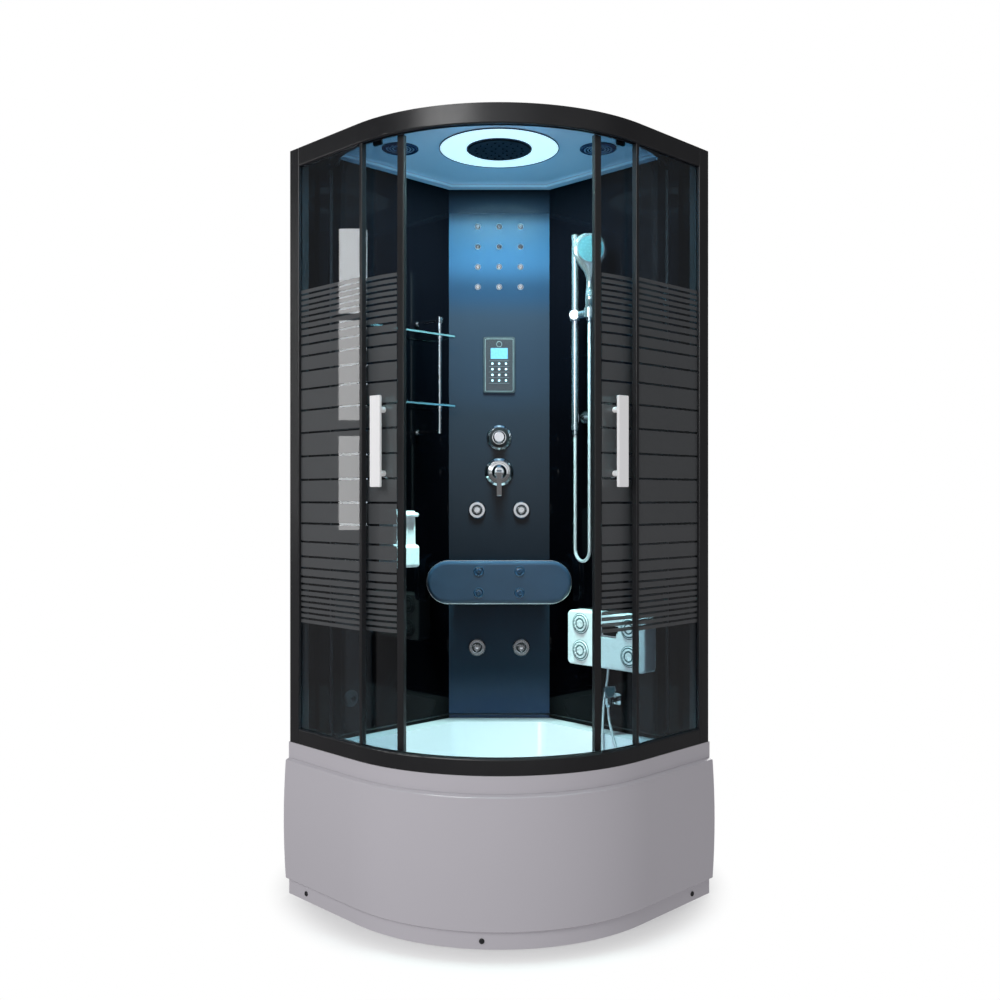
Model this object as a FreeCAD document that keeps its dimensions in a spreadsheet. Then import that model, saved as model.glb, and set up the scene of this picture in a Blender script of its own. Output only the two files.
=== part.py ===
import FreeCAD
import Part
import math
import os
import Sketcher
from types import SimpleNamespace
from FreeCAD import Placement, Rotation, Vector

# Corner steam shower cabin: a deep quadrant tub behind a bulged apron, a black aluminium frame,
# two fixed glass panels and two curved sliding doors, black glass back walls, and a control
# column that closes the corner. Millimetres. The floor is z = 0 and the front looks along -Y.
#
# Two frames are used. The front frame is the part's own: X is the plane of symmetry's normal.
# The corner frame has its origin in the house corner: x runs along the left wall, y along the
# right wall, so every wall, rail and pane is drawn square and turned into place afterwards.

SIZES = [
    # tray and frame in plan
    ("tray_radius", 572, "front radius of the apron's belly"),
    ("tray_side", 900, "side of the tray at the belly"),
    ("rim_side", 881, "side of the tub's rim band"),
    ("frame_side", 878, "side of the aluminium frame"),
    ("wall_depth", 44, "from the house wall to the face of the black glass"),
    ("glass_thick", 6, "fixed glass and black glass"),
    # heights
    ("apron_low", 4, "lower edge of the apron above the floor"),
    ("plinth_top", 46, "top of the recessed plinth"),
    ("belly_high", 225, "height of the widest point of the apron"),
    ("rim_low", 406, "lower edge of the rim band"),
    ("rim_top", 452, "top of the rim, where the frame stands"),
    ("deck_high", 440, "deck inside the frame"),
    ("basin_low", 150, "floor of the basin"),
    ("rail_high", 44, "height of the bottom rail"),
    ("head_low", 2146, "lower edge of the top rail"),
    ("head_top", 2200, "top of the frame"),
    ("roof_top", 2245, "crown of the roof"),
    ("shell", 6, "thickness of the acrylic shells"),
    # sliding doors
    ("door_radius", 516, "radius of the middle of the door glass"),
    ("door_thick", 5, "door glass"),
    ("wheel_radius", 11.5, "door roller"),
    ("track_high", 2154, "running face of the roller track"),
    # control column
    ("column_depth", 229.8, "from the house corner to the face of the column"),
    ("jet_pitch", 71, "spacing of the small jets across"),
    ("jet_rise", 67, "spacing of the small jets up"),
    ("jet_half", 73.6, "half the distance between the large jets"),
    ("pad_length", 468, "massage pad"),
    ("pad_height", 137, "massage pad"),
    ("pad_thick", 36, "massage pad"),
    # wall fittings
    ("rail_tube", 11, "radius of the slide rail"),
    ("post_tube", 6, "radius of the shelf post"),
    ("hose_radius", 5.5, "shower hose"),
    ("thin_hose_radius", 4, "foot sprayer hose"),
    ("led_radius", 175, "light ring in the ceiling"),
    ("rose_radius", 94, "overhead rose"),
]

DOOR_OPEN = 29.4      # angle of each door's leading edge from the middle of the front, in degrees
DOOR_SPAN = 45.0      # angle that one door covers
POST_ANGLE = 43.9     # angle of the fixed glass's free edge
ROLLER_ANGLES = (11.0, 36.0)   # rollers behind the door's leading edge
HANDLE_ANGLE = 7.8    # handle behind the door's leading edge
FRONT = 45.0          # direction of the front, seen from the arc's centre in the corner frame
ROOT_HALF = math.sqrt(0.5)

doc = FreeCAD.newDocument("steam_shower_cabin")
sheet = doc.addObject("Spreadsheet::Sheet", "sizes")


class Size:
    """A number together with the sheet expression that gives it."""

    def __init__(self, value, text):
        self.value = float(value)
        self.text = text

    def joined(self, other, sign, value, swapped=False):
        ends = (self.text, text_of(other))
        if swapped:
            ends = (ends[1], ends[0])
        return Size(value, "(%s %s %s)" % (ends[0], sign, ends[1]))

    def __add__(self, other):
        return self.joined(other, "+", self.value + number(other))

    def __radd__(self, other):
        return self.joined(other, "+", number(other) + self.value, True)

    def __sub__(self, other):
        return self.joined(other, "-", self.value - number(other))

    def __rsub__(self, other):
        return self.joined(other, "-", number(other) - self.value, True)

    def __mul__(self, other):
        return self.joined(other, "*", self.value * number(other))

    def __rmul__(self, other):
        return self.joined(other, "*", number(other) * self.value, True)

    def __truediv__(self, other):
        return self.joined(other, "/", self.value / number(other))

    def __neg__(self):
        return Size(-self.value, "(0 - %s)" % self.text)


def number(value):
    return value.value if isinstance(value, Size) else float(value)


def text_of(value):
    return value.text if isinstance(value, Size) else "%.9g" % value


s = SimpleNamespace()      # the driving dimensions by name
for row, (name, value, note) in enumerate(SIZES, 1):
    sheet.set("A%d" % row, name)
    sheet.set("B%d" % row, str(value))
    sheet.set("C%d" % row, note)
    sheet.setAlias("B%d" % row, name)
    setattr(s, name, Size(value, "sizes." + name))
doc.recompute()

# Derived places.
arc_centre = s.tray_side - s.tray_radius                # both coordinates, in the corner frame
frame_radius = s.frame_side - arc_centre
half_depth = (arc_centre * math.sqrt(2) + s.tray_radius) * 0.5
rail_top = s.rim_top + s.rail_high
column_face = half_depth - s.column_depth               # its Y in the front frame
wheel_high = s.track_high + s.wheel_radius + 0.15
door_inner = s.door_radius - s.door_thick * 0.5
door_outer = s.door_radius + s.door_thick * 0.5
wall_face = s.wall_depth

CORNER = Placement(Vector(0, half_depth.value, 0), Rotation(Vector(0, 0, 1), -135))
KEPT = []


# ---------------------------------------------------------------- construction helpers

def bind(thing, prop, value):
    if isinstance(value, Size):
        thing.setExpression(prop, value.text)


def keep(thing):
    """Marks an object as one of the sub-parts that are written out."""
    KEPT.append(thing)
    return thing


def new_body(label, place=None):
    body = doc.addObject("PartDesign::Body", label)
    body.Label = label
    if place is not None:
        body.Placement = place
    return body


def new_sketch(body, plane, lift=0.0, turn=0.0):
    """An empty sketch on one of the body's own planes, lifted along the plane's normal."""
    sketch = body.newObject("Sketcher::SketchObject", body.Label + "_sketch")
    support = next(f for f in body.Origin.OriginFeatures if f.Role == plane + "_Plane")
    sketch.AttachmentSupport = [(support, "")]
    sketch.MapMode = "FlatFace"
    spin = Rotation(Vector(0, 1, 0), turn)
    sketch.AttachmentOffset = Placement(spin.multVec(Vector(0, 0, number(lift))), spin)
    if turn == 0.0:
        bind(sketch, "AttachmentOffset.Base.z", lift)
    return sketch


def radial_sketch(body, angle, lift=0.0):
    """A sketch whose normal points outwards at an angle about Z; its x axis is the tangent."""
    return new_sketch(body, "YZ", lift, angle)


def polar(angle, radius, centre=(0.0, 0.0)):
    turn = math.radians(angle)
    return (centre[0] + radius * math.cos(turn), centre[1] + radius * math.sin(turn))


def vector(point):
    return Vector(number(point[0]), number(point[1]), 0)


def rounded(points, radii=0.0):
    """The segments of a closed outline whose corners are turned by arcs of the given radii."""
    if not isinstance(radii, (list, tuple)):
        radii = [radii] * len(points)
    corners = []
    for i, corner in enumerate(points):
        incoming = (vector(corner) - vector(points[i - 1])).normalize()
        outgoing = (vector(points[(i + 1) % len(points)]) - vector(corner)).normalize()
        turn = math.atan2(incoming.cross(outgoing).z, incoming.dot(outgoing))
        radius = radii[i]
        if number(radius) == 0.0:
            corners.append((corner, corner, None, 0.0, True))
            continue
        reach = radius * math.tan(abs(turn) / 2)
        side = 1.0 if turn > 0 else -1.0
        start = (corner[0] - along(incoming.x, reach), corner[1] - along(incoming.y, reach))
        end = (corner[0] + along(outgoing.x, reach), corner[1] + along(outgoing.y, reach))
        centre = (start[0] - along(incoming.y * side, radius),
                  start[1] + along(incoming.x * side, radius))
        corners.append((start, end, centre, radius, turn > 0))
    segments = []
    for i, (start, end, centre, radius, left) in enumerate(corners):
        if centre is not None:
            segments.append(("arc", start, end, centre, radius, left))
        following = corners[(i + 1) % len(corners)][0]
        if (vector(following) - vector(end)).Length > 1e-6:
            segments.append(("line", end, following))
    return segments


def along(share, length):
    """A length taken along one axis, left out of the expression where its share is nothing."""
    return 0.0 if abs(share) < 1e-9 else share * length


def band(inner, outer, low, high, centre=(0.0, 0.0)):
    """The segments of a ring sector between two radii and two angles."""
    a = polar(low, outer, centre)
    b = polar(high, outer, centre)
    c = polar(high, inner, centre)
    d = polar(low, inner, centre)
    return [("arc", a, b, centre, outer, True), ("line", b, c),
            ("arc", c, d, centre, inner, False), ("line", d, a)]


def draw(sketch, segments, closed=True):
    """Adds a chain of segments, with every end and radius bound to the sheet."""
    first = sketch.GeometryCount
    starts = []
    for segment in segments:
        p, q = vector(segment[1]), vector(segment[2])
        if segment[0] == "line":
            sketch.addGeometry(Part.LineSegment(p, q))
            starts.append((1, 2))
            continue
        centre, radius, left = vector(segment[3]), number(segment[4]), segment[5]
        a, b = (p, q) if left else (q, p)
        low = math.atan2(a.y - centre.y, a.x - centre.x)
        high = math.atan2(b.y - centre.y, b.x - centre.x)
        circle = Part.Circle(centre, Vector(0, 0, 1), radius)
        sketch.addGeometry(Part.ArcOfCircle(circle, low, high if high > low else high + 2 * math.pi))
        starts.append((1, 2) if left else (2, 1))
    count = len(segments)
    for i, segment in enumerate(segments):
        at = first + i
        if closed or i + 1 < count:
            other = (i + 1) % count
            sketch.addConstraint(Sketcher.Constraint(
                "Coincident", at, starts[i][1], first + other, starts[other][0]))
        pin(sketch, at, starts[i][0], segment[1])
        if segment[0] == "arc":
            size_arc(sketch, at, segment)
    if not closed:
        pin(sketch, first + count - 1, starts[-1][1], segments[-1][2])
    return sketch


def size_arc(sketch, at, segment):
    """Fixes an arc's radius, or the middle of a half circle, whose ends already give its radius."""
    chord = vector(segment[2]) - vector(segment[1])
    if chord.Length < 1.98 * number(segment[4]):
        fix(sketch, Sketcher.Constraint("Radius", at, number(segment[4])), segment[4])
        return
    axis = 0 if abs(chord.y) > abs(chord.x) else 1
    kind = ("DistanceX", "DistanceY")[axis]
    value = segment[3][axis]
    fix(sketch, Sketcher.Constraint(kind, -1, 1, at, 3, number(value)), value)


def pin(sketch, geometry, end, point):
    for kind, value in zip(("DistanceX", "DistanceY"), point):
        fix(sketch, Sketcher.Constraint(kind, -1, 1, geometry, end, number(value)), value)


def fix(sketch, constraint, value):
    index = sketch.addConstraint(constraint)
    bind(sketch, "Constraints[%d]" % index, value)


def draw_circle(sketch, point, radius):
    geometry = sketch.addGeometry(Part.Circle(vector(point), Vector(0, 0, 1), number(radius)))
    pin(sketch, geometry, 3, point)
    fix(sketch, Sketcher.Constraint("Radius", geometry, number(radius)), radius)
    return sketch


def feature(kind, body, sketch, length=None, both=False, back=False):
    item = body.newObject("PartDesign::" + kind, body.Label + "_" + kind.lower())
    item.Profile = sketch
    if length is None:
        item.Type = "ThroughAll"
    else:
        item.Length = number(length)
        bind(item, "Length", length)
    if both:
        item.SideType = "Symmetric"
    item.Reversed = back
    body.Tip = item
    return item


def pad(body, sketch, length, both=False, back=False):
    return feature("Pad", body, sketch, length, both, back)


def pocket(body, sketch, length=None, both=False, back=False):
    """Cuts against the sketch's normal, or along it with back."""
    return feature("Pocket", body, sketch, length, both, back)


def revolve(body, sketch, angle=360.0):
    """Turns a profile about the sketch's own vertical axis."""
    item = body.newObject("PartDesign::Revolution", body.Label + "_revolution")
    item.Profile = sketch
    item.ReferenceAxis = (sketch, ["V_Axis"])
    item.Angle = angle
    body.Tip = item
    return item


def loft(body, sketches, cut=False):
    item = body.newObject("PartDesign::" + ("SubtractiveLoft" if cut else "AdditiveLoft"),
                          body.Label + "_loft")
    item.Profile = sketches[0]
    item.Sections = sketches[1:]
    body.Tip = item
    return item


def dress(kind, body, base, edges, size):
    """A Fillet or Chamfer on the edges that a test picks out."""
    doc.recompute()
    names = ["Edge%d" % (i + 1) for i, edge in enumerate(base.Shape.Edges) if edges(edge)]
    item = body.newObject("PartDesign::" + kind, body.Label + "_" + kind.lower())
    item.Base = (base, names)
    prop = "Radius" if kind == "Fillet" else "Size"
    setattr(item, prop, number(size))
    bind(item, prop, size)
    body.Tip = item
    return item


def spin_pattern(body, item, count):
    """Repeats a feature round the body's Z axis."""
    doc.recompute()
    pattern = body.newObject("PartDesign::PolarPattern", body.Label + "_pattern")
    pattern.Originals = [item]
    axis = next(f for f in body.Origin.OriginFeatures if f.Role == "Z_Axis")
    pattern.Axis = (axis, [""])
    pattern.Angle = 360
    pattern.Occurrences = count
    body.Tip = pattern
    return pattern


def plate(label, segments, height, low=0.0, place=CORNER):
    """A body padded from one closed outline."""
    body = new_body(label, place)
    pad(body, draw(new_sketch(body, "XY", low), segments), height)
    return body


def turned(label, profile, place, radii=0.0):
    """A body of revolution about Z from (radius, height) points."""
    body = new_body(label, place)
    revolve(body, draw(new_sketch(body, "XZ"), rounded(profile, radii)))
    return body


def mirrored(label, source):
    """The right-hand twin of a left-hand piece."""
    twin = doc.addObject("Part::Mirroring", label)
    twin.Source = source
    twin.Normal = Vector(1, 0, 0)
    twin.Label = label
    return twin


def group(label, members):
    """Several solids that belong to one sub-part."""
    compound = doc.addObject("Part::Compound", label)
    compound.Links = members
    compound.Label = label
    return keep(compound)


def copies(label, source, places):
    """Identical solids of one sub-part: the source's shape at each placement."""
    doc.recompute()
    shape = source.Shape.copy()
    shape.Placement = Placement()
    solids = []
    for place in places:
        solid = shape.copy()
        solid.Placement = place
        solids.append(solid)
    item = doc.addObject("Part::Feature", label)
    item.Shape = Part.makeCompound(solids)
    item.Label = label
    return item


def on_column(x, z, lift=0.0):
    """Z points out of the column's face, towards the front."""
    return Placement(Vector(x, column_face.value - lift, z), Rotation(Vector(1, 0, 0), 90))


def around(angle, radius=0.0, z=0.0, spin=None):
    """A frame at an angle about the arc's centre: x points outwards and y along the arc."""
    centre = Vector(arc_centre.value, arc_centre.value, 0)
    frame = CORNER * Placement(centre, Rotation(Vector(0, 0, 1), angle))
    frame = frame * Placement(Vector(radius, 0, z), Rotation())
    return frame * Placement(Vector(), spin) if spin else frame


def left_wall(along_wall, off, z, spin=None):
    """A point on the left wall's face; x runs along the wall and y points into the room."""
    depth = wall_face.value
    place = CORNER * Placement(Vector(depth + along_wall, depth + off, z), Rotation())
    return place * Placement(Vector(), spin) if spin else place


def right_wall(along_wall, off, z, spin=None):
    """A point on the right wall's face; y runs along the wall and x points into the room."""
    depth = wall_face.value
    place = CORNER * Placement(Vector(depth + off, depth + along_wall, z), Rotation())
    return place * Placement(Vector(), spin) if spin else place


UP_TO_X = Rotation(Vector(0, 1, 0), 90)      # turns Z to +x
UP_TO_Y = Rotation(Vector(1, 0, 0), -90)     # turns Z to +y


def quadrant(side, margin=0.0):
    """The plan outline of a corner cabin: three square corners and one large arc."""
    points = [(margin, margin), (side, margin), (side, side), (margin, side)]
    return rounded(points, [0.0, 0.0, side - arc_centre, 0.0])


def front_path(body, side, start):
    """The open path of the front: straight, arc, straight."""
    radius = side - arc_centre
    a = (side, arc_centre)
    b = (arc_centre, side)
    centre = (arc_centre, arc_centre)
    sketch = new_sketch(body, "XY")
    return draw(sketch, [("line", (side, start), a), ("arc", a, b, centre, radius, True),
                         ("line", b, (start, side))], closed=False)


def front_pipe(label, profile, side, start):
    """A profile in the (x, z) plane, carried along the front."""
    body = new_body(label, CORNER)
    section = draw(new_sketch(body, "XZ", 0.0 - start), profile)
    item = body.newObject("PartDesign::AdditivePipe", label + "_pipe")
    item.Profile = section
    item.Spine = (front_path(body, side, start), ["Edge1", "Edge2", "Edge3"])
    body.Tip = item
    return body


# ---------------------------------------------------------------- tub, apron and what carries them

DRAIN = 470.0            # both corner-frame coordinates of the waste
DRAIN_HOLE = 26.0
# The basin in plan at the deck and at its floor: slanting back, walls, front, corner radius.
BASIN_TOP = (410.0, 104.0, 821.0, 60.0)
BASIN_FLOOR = (560.0, 184.0, 728.0, 75.0)


def basin_outline(low_corner, wall, front, corner_radius):
    """The basin in plan: wall sides, a slanting back in front of the column, and the front arc."""
    points = [(low_corner - wall, wall), (front, wall), (front, front),
              (wall, front), (wall, low_corner - wall)]
    return rounded(points, [corner_radius, corner_radius, front - arc_centre,
                            corner_radius, corner_radius])


def grown_basin(inside):
    """The outer face of the basin: its inside grown by the shell's thickness."""
    slant, wall, front, radius = inside
    return basin_outline(slant - s.shell * math.sqrt(2), wall - s.shell, front + s.shell,
                         radius + s.shell)


def make_tub():
    body = new_body("tub_shell", CORNER)
    band_high = s.rim_top - s.rim_low
    pad(body, draw(new_sketch(body, "XY", s.rim_low), quadrant(s.rim_side)), band_high)
    under = draw(new_sketch(body, "XY", s.rim_low), quadrant(s.rim_side - s.shell, s.shell))
    pocket(body, under, s.deck_high - s.shell - s.rim_low, back=True)
    recess = draw(new_sketch(body, "XY", s.rim_top),
                  quadrant(s.frame_side - 25, wall_face - 6.3))
    pocket(body, recess, s.rim_top - s.deck_high)
    loft(body, [draw(new_sketch(body, "XY", s.deck_high - 1), grown_basin(BASIN_TOP)),
                draw(new_sketch(body, "XY", s.basin_low - s.shell), grown_basin(BASIN_FLOOR))])
    loft(body, [draw(new_sketch(body, "XY", s.deck_high), basin_outline(*BASIN_TOP)),
                draw(new_sketch(body, "XY", s.basin_low), basin_outline(*BASIN_FLOOR))], cut=True)
    drain = draw_circle(new_sketch(body, "XY", s.basin_low), (DRAIN, DRAIN), DRAIN_HOLE)
    pocket(body, drain, both=True)
    keep(body)


def make_apron():
    """A moulded skin: recessed plinth, a crease, and a belly that is one long arc."""
    side = s.rim_side
    skin = 5.0
    top = s.rim_low - 0.4
    edge = side + 12.0
    crease = (edge, s.plinth_top + 7)
    head = (edge, top - 5)
    # the belly is one arc through the crease, the widest point and the head
    half = (number(head[1]) - number(crease[1])) / 2
    bulge = number(s.tray_side) - number(edge)
    radius = (half * half + bulge * bulge) / (2 * bulge)
    centre = (s.tray_side - radius, (crease[1] + head[1]) * 0.5)
    waist = (s.tray_side - skin, centre[1])
    profile = [("line", (side - skin, s.apron_low), (side, s.apron_low)),
               ("line", (side, s.apron_low), (side, s.plinth_top)),
               ("line", (side, s.plinth_top), crease),
               ("arc", crease, head, centre, radius, True),
               ("line", head, (side, top)),
               ("line", (side, top), (side - skin - 6, top)),
               ("line", (side - skin - 6, top), (side - skin - 6, top - skin)),
               ("line", (side - skin - 6, top - skin), (head[0] - skin, head[1] - skin)),
               ("line", (head[0] - skin, head[1] - skin), waist),
               ("line", waist, (crease[0] - skin, crease[1] + skin)),
               ("line", (crease[0] - skin, crease[1] + skin), (side - skin, s.plinth_top)),
               ("line", (side - skin, s.plinth_top), (side - skin, s.apron_low))]
    body = front_pipe("tub_apron", profile, s.frame_side, 2.0)
    for ring, radius in ((number(head[1]), 4.0), (number(crease[1]), 3.0)):
        dress("Fillet", body, body.Tip,
              lambda e: e.BoundBox.ZLength < 0.1 and abs(e.BoundBox.ZMin - ring) < 0.1, radius)
    keep(body)


CAP_HIGH = 25.0          # height of the screw caps
CAP_FROM_WALL = 90.0
CAP_ANGLE = 4.7          # the middle cap stands this far to the left of the front


def make_caps():
    """Three dark caps over the screws that hold the apron's plinth."""
    cap = turned("cap_source", [(0, 0), (7, 0), (7, 2), (5.5, 3.2), (0, 3.2)], Placement())
    side = s.rim_side.value
    places = [CORNER * Placement(Vector(side, CAP_FROM_WALL, CAP_HIGH), UP_TO_X),
              around(FRONT - CAP_ANGLE, side - arc_centre.value, CAP_HIGH, UP_TO_X),
              CORNER * Placement(Vector(CAP_FROM_WALL, side, CAP_HIGH), UP_TO_Y)]
    keep(copies("apron_screw_caps", cap, places))


FEET = [(60.0, 60.0), (800.0, 70.0), (70.0, 800.0), (650.0, 330.0), (330.0, 650.0)]
FRAME_LOW = 96.0         # lower face of the support frame
FRAME_TUBE = 24.0
WALL_RAIL = (48.0, 812.0)      # where a rail along a wall starts and ends
CROSS_RAIL = (330.0, 662.0)    # middle of a rail across the basin, and its end
FOOT_PLATE = 18.0        # half the plate over a front foot


def box_outline(x0, y0, x1, y1, radius=0.0):
    return rounded([(x0, y0), (x1, y0), (x1, y1), (x0, y1)], radius)


def make_support():
    """Square tubes: two rails under the basin, cross ties, and uprights to the rim."""
    body = new_body("support_frame", CORNER)
    high = s.basin_low - s.shell - FRAME_LOW - 1
    upright_high = s.deck_high - s.shell - FRAME_LOW - 0.2
    half = FRAME_TUBE / 2
    near, far = WALL_RAIL
    middle, end = CROSS_RAIL
    bars = [(near, near, far, near + FRAME_TUBE), (near, near, near + FRAME_TUBE, far),
            (middle - half, near, middle + half, end), (near, middle - half, end, middle + half)]
    for x, y in FEET[3:]:
        bars.append((x - FOOT_PLATE, y - FOOT_PLATE, x + FOOT_PLATE, y + FOOT_PLATE))
    for bar in bars:
        pad(body, draw(new_sketch(body, "XY", FRAME_LOW), box_outline(*bar)), high)
    for x, y in FEET[:3]:
        upright = box_outline(x - half, y - half, x + half, y + half)
        pad(body, draw(new_sketch(body, "XY", FRAME_LOW), upright), upright_high)
    keep(body)


def make_feet():
    """Threaded feet: a ribbed pad, a hexagon lock nut and the stud."""
    foot = new_body("foot_source")
    profile = [(0, 0), (24, 0), (24, 6), (12, 14), (6, 16), (6, FRAME_LOW), (0, FRAME_LOW)]
    revolve(foot, draw(new_sketch(foot, "XZ"), rounded(profile)))
    nut = [polar(60 * i, 11) for i in range(6)]
    pad(foot, draw(new_sketch(foot, "XY", FRAME_LOW - 14), rounded(nut)), 10)
    places = [CORNER * Placement(Vector(x, y, 0), Rotation()) for x, y in FEET]
    keep(copies("levelling_feet", foot, places))


SPIGOT_DROP = 88.0       # the spigot's axis below the basin's floor
SPIGOT_RADIUS = 20.0
SPIGOT_LENGTH = 70.0
COLLAR_FROM = 37.0       # the collar at the spigot's root, from the drain's axis
COLLAR_END = 42.0
COLLAR_RADIUS = 24.0


def make_waste():
    """Basin waste: flange and sleeve, bottle trap, and a spigot for the waste pipe."""
    place = CORNER * Placement(Vector(DRAIN, DRAIN, 0), Rotation())
    body = new_body("waste_trap", place)
    floor = s.basin_low
    base = floor - 112
    profile = [(0, base), (30, base), (38, base + 10), (38, floor - 48), (25.8, floor - 40),
               (25.8, floor), (36, floor), (34, floor + 2.5), (22.5, floor + 1.5),
               (22.5, floor - 6), (19, floor - 8), (19, floor - 52), (33, floor - 55),
               (33, base + 14), (28, base + 6), (0, base + 6)]
    revolve(body, draw(new_sketch(body, "XZ"), rounded(profile)))
    to_corner = FRONT + 180
    axis = (0, floor - SPIGOT_DROP)
    collar = draw_circle(radial_sketch(body, to_corner, COLLAR_FROM), axis, COLLAR_RADIUS)
    pad(body, collar, COLLAR_END - COLLAR_FROM)
    spigot = draw_circle(radial_sketch(body, to_corner, COLLAR_FROM), axis, SPIGOT_RADIUS)
    pad(body, spigot, COLLAR_END - COLLAR_FROM + SPIGOT_LENGTH)
    bore = draw_circle(radial_sketch(body, to_corner, 33.5), axis, SPIGOT_RADIUS - 3)
    pocket(body, bore, 90, back=True)
    keep(body)


def make_plug():
    """Push plug: a domed cap and its stem."""
    floor = s.basin_low.value
    place = CORNER * Placement(Vector(DRAIN, DRAIN, 0), Rotation())
    profile = [(0, floor - 32), (4, floor - 32), (4, floor - 3), (20, floor - 2), (22, floor),
               (21, floor + 2.5), (12, floor + 4.5), (0, floor + 5)]
    keep(turned("waste_plug", profile, place))


# ---------------------------------------------------------------- aluminium frame and glass

def glass_slot():
    """Inner and outer face of the slot that holds the fixed glass, from the arc's side."""
    outer = s.frame_side - 8.7
    return outer - s.glass_thick - 0.6, outer


TRACK_START = -24.0      # where the doors' track and guide ring begin, in degrees
TRACK_TURN = 138.0
SLOT_DEEP = 14.0         # depth of the glass slots in the rails


def make_rails():
    """Sill and head profiles carried along the front, with the doors' ring and roller track."""
    inner, outer = glass_slot()
    back = s.frame_side - 20
    start = 46.3
    low = [(s.frame_side, s.rim_top), (s.frame_side, rail_top), (outer, rail_top),
           (outer, rail_top - SLOT_DEEP), (inner, rail_top - SLOT_DEEP), (inner, rail_top),
           (back, rail_top), (back, s.rim_top)]
    sill = front_pipe("sill_rail", rounded(low, [0, 5, 0, 0, 0, 0, 0, 0]), s.frame_side, start)
    guide = plate("door_guide_ring",
                  band(s.door_radius - 1.5, s.door_radius + 1.5, TRACK_START, TRACK_START + TRACK_TURN,
                       (arc_centre, arc_centre)),
                  28, s.deck_high)
    group("bottom_rail", [sill, guide])

    high = [(s.frame_side, s.head_low), (s.frame_side, s.head_top), (back, s.head_top),
            (back, s.head_low), (inner, s.head_low), (inner, s.head_low + SLOT_DEEP),
            (outer, s.head_low + SLOT_DEEP), (outer, s.head_low)]
    head = front_pipe("head_rail", rounded(high, [5, 0, 0, 0, 0, 0, 0, 0]), s.frame_side, start)
    track = new_body("roller_track", CORNER * Placement(
        Vector(arc_centre.value, arc_centre.value, 0), Rotation(Vector(0, 0, 1), TRACK_START)))
    web = frame_radius - 22.5
    lip = s.door_radius + 3
    lid = s.head_top - 0.4
    profile = [(lip, s.track_high - 4), (web + 2.3, s.track_high - 4), (web + 2.3, lid),
               (s.door_radius - 12, lid), (s.door_radius - 12, lid - 4), (web, lid - 4),
               (web, s.track_high), (lip, s.track_high)]
    section = draw(new_sketch(track, "XZ"), rounded(profile))
    revolve(track, section, TRACK_TURN)
    group("top_rail", [head, track])


def make_posts():
    """Upright profiles: one at each wall, and one on the free edge of each fixed pane."""
    inner, outer = glass_slot()
    reach = 46
    wall = [(s.frame_side - 40, 0.3), (s.frame_side, 0.3), (s.frame_side, reach), (outer, reach),
            (outer, reach - 9), (inner, reach - 9), (inner, reach), (s.frame_side - 40, reach)]
    post = plate("wall_post", rounded(wall, [0, 3, 3, 0, 0, 0, 0, 3]),
                 s.head_top - s.rim_top - 0.2, s.rim_top)
    hollow = box_outline(s.frame_side - 37.5, 3, s.frame_side - 18.3, reach - 3, 2.0)
    pocket(post, draw(new_sketch(post, "XY"), hollow), both=True)
    front_hollow = box_outline(s.frame_side - 16, 3, s.frame_side - 2.5, reach - 11.5, 2.0)
    pocket(post, draw(new_sketch(post, "XY"), front_hollow), both=True)
    place = around(FRONT - POST_ANGLE)
    middle = (inner + outer) * 0.5 - arc_centre
    half = s.glass_thick * 0.5 + 0.3
    edge = [(middle - 8, -8), (middle - half, -8), (middle - half, -2), (middle + half, -2),
            (middle + half, -8), (middle + 8, -8), (middle + 8, 3), (middle - 8, 3)]
    free = plate("edge_post", rounded(edge, [1.5, 0, 0, 0, 0, 1.5, 1.5, 1.5]),
                 s.head_low - rail_top - 0.4, rail_top + 0.2, place)
    group("front_posts", [post, free, mirrored("wall_post_right", post),
                          mirrored("edge_post_right", free)])


def make_fixed_glass():
    """A flat pane that runs into the front arc, standing in the slots of posts and rails."""
    inner, outer = glass_slot()
    inner = inner + 0.3
    outer = outer - 0.3
    last = FRONT - POST_ANGLE - 0.3
    centre = (arc_centre, arc_centre)
    far_out = polar(last, outer - arc_centre, centre)
    far_in = polar(last, inner - arc_centre, centre)
    start = 38.0
    outline = [("line", (inner, start), (outer, start)), ("line", (outer, start), (outer, arc_centre)),
               ("arc", (outer, arc_centre), far_out, centre, outer - arc_centre, True),
               ("line", far_out, far_in),
               ("arc", far_in, (inner, arc_centre), centre, inner - arc_centre, False),
               ("line", (inner, arc_centre), (inner, start))]
    low = rail_top - SLOT_DEEP + 0.5
    pane = plate("fixed_glass_left", outline, s.head_low + SLOT_DEEP - 0.5 - low, low)
    keep(pane)
    keep(mirrored("fixed_glass_right", pane))


BACK_START = 262.0      # the wall panels start behind the column's edge


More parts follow.
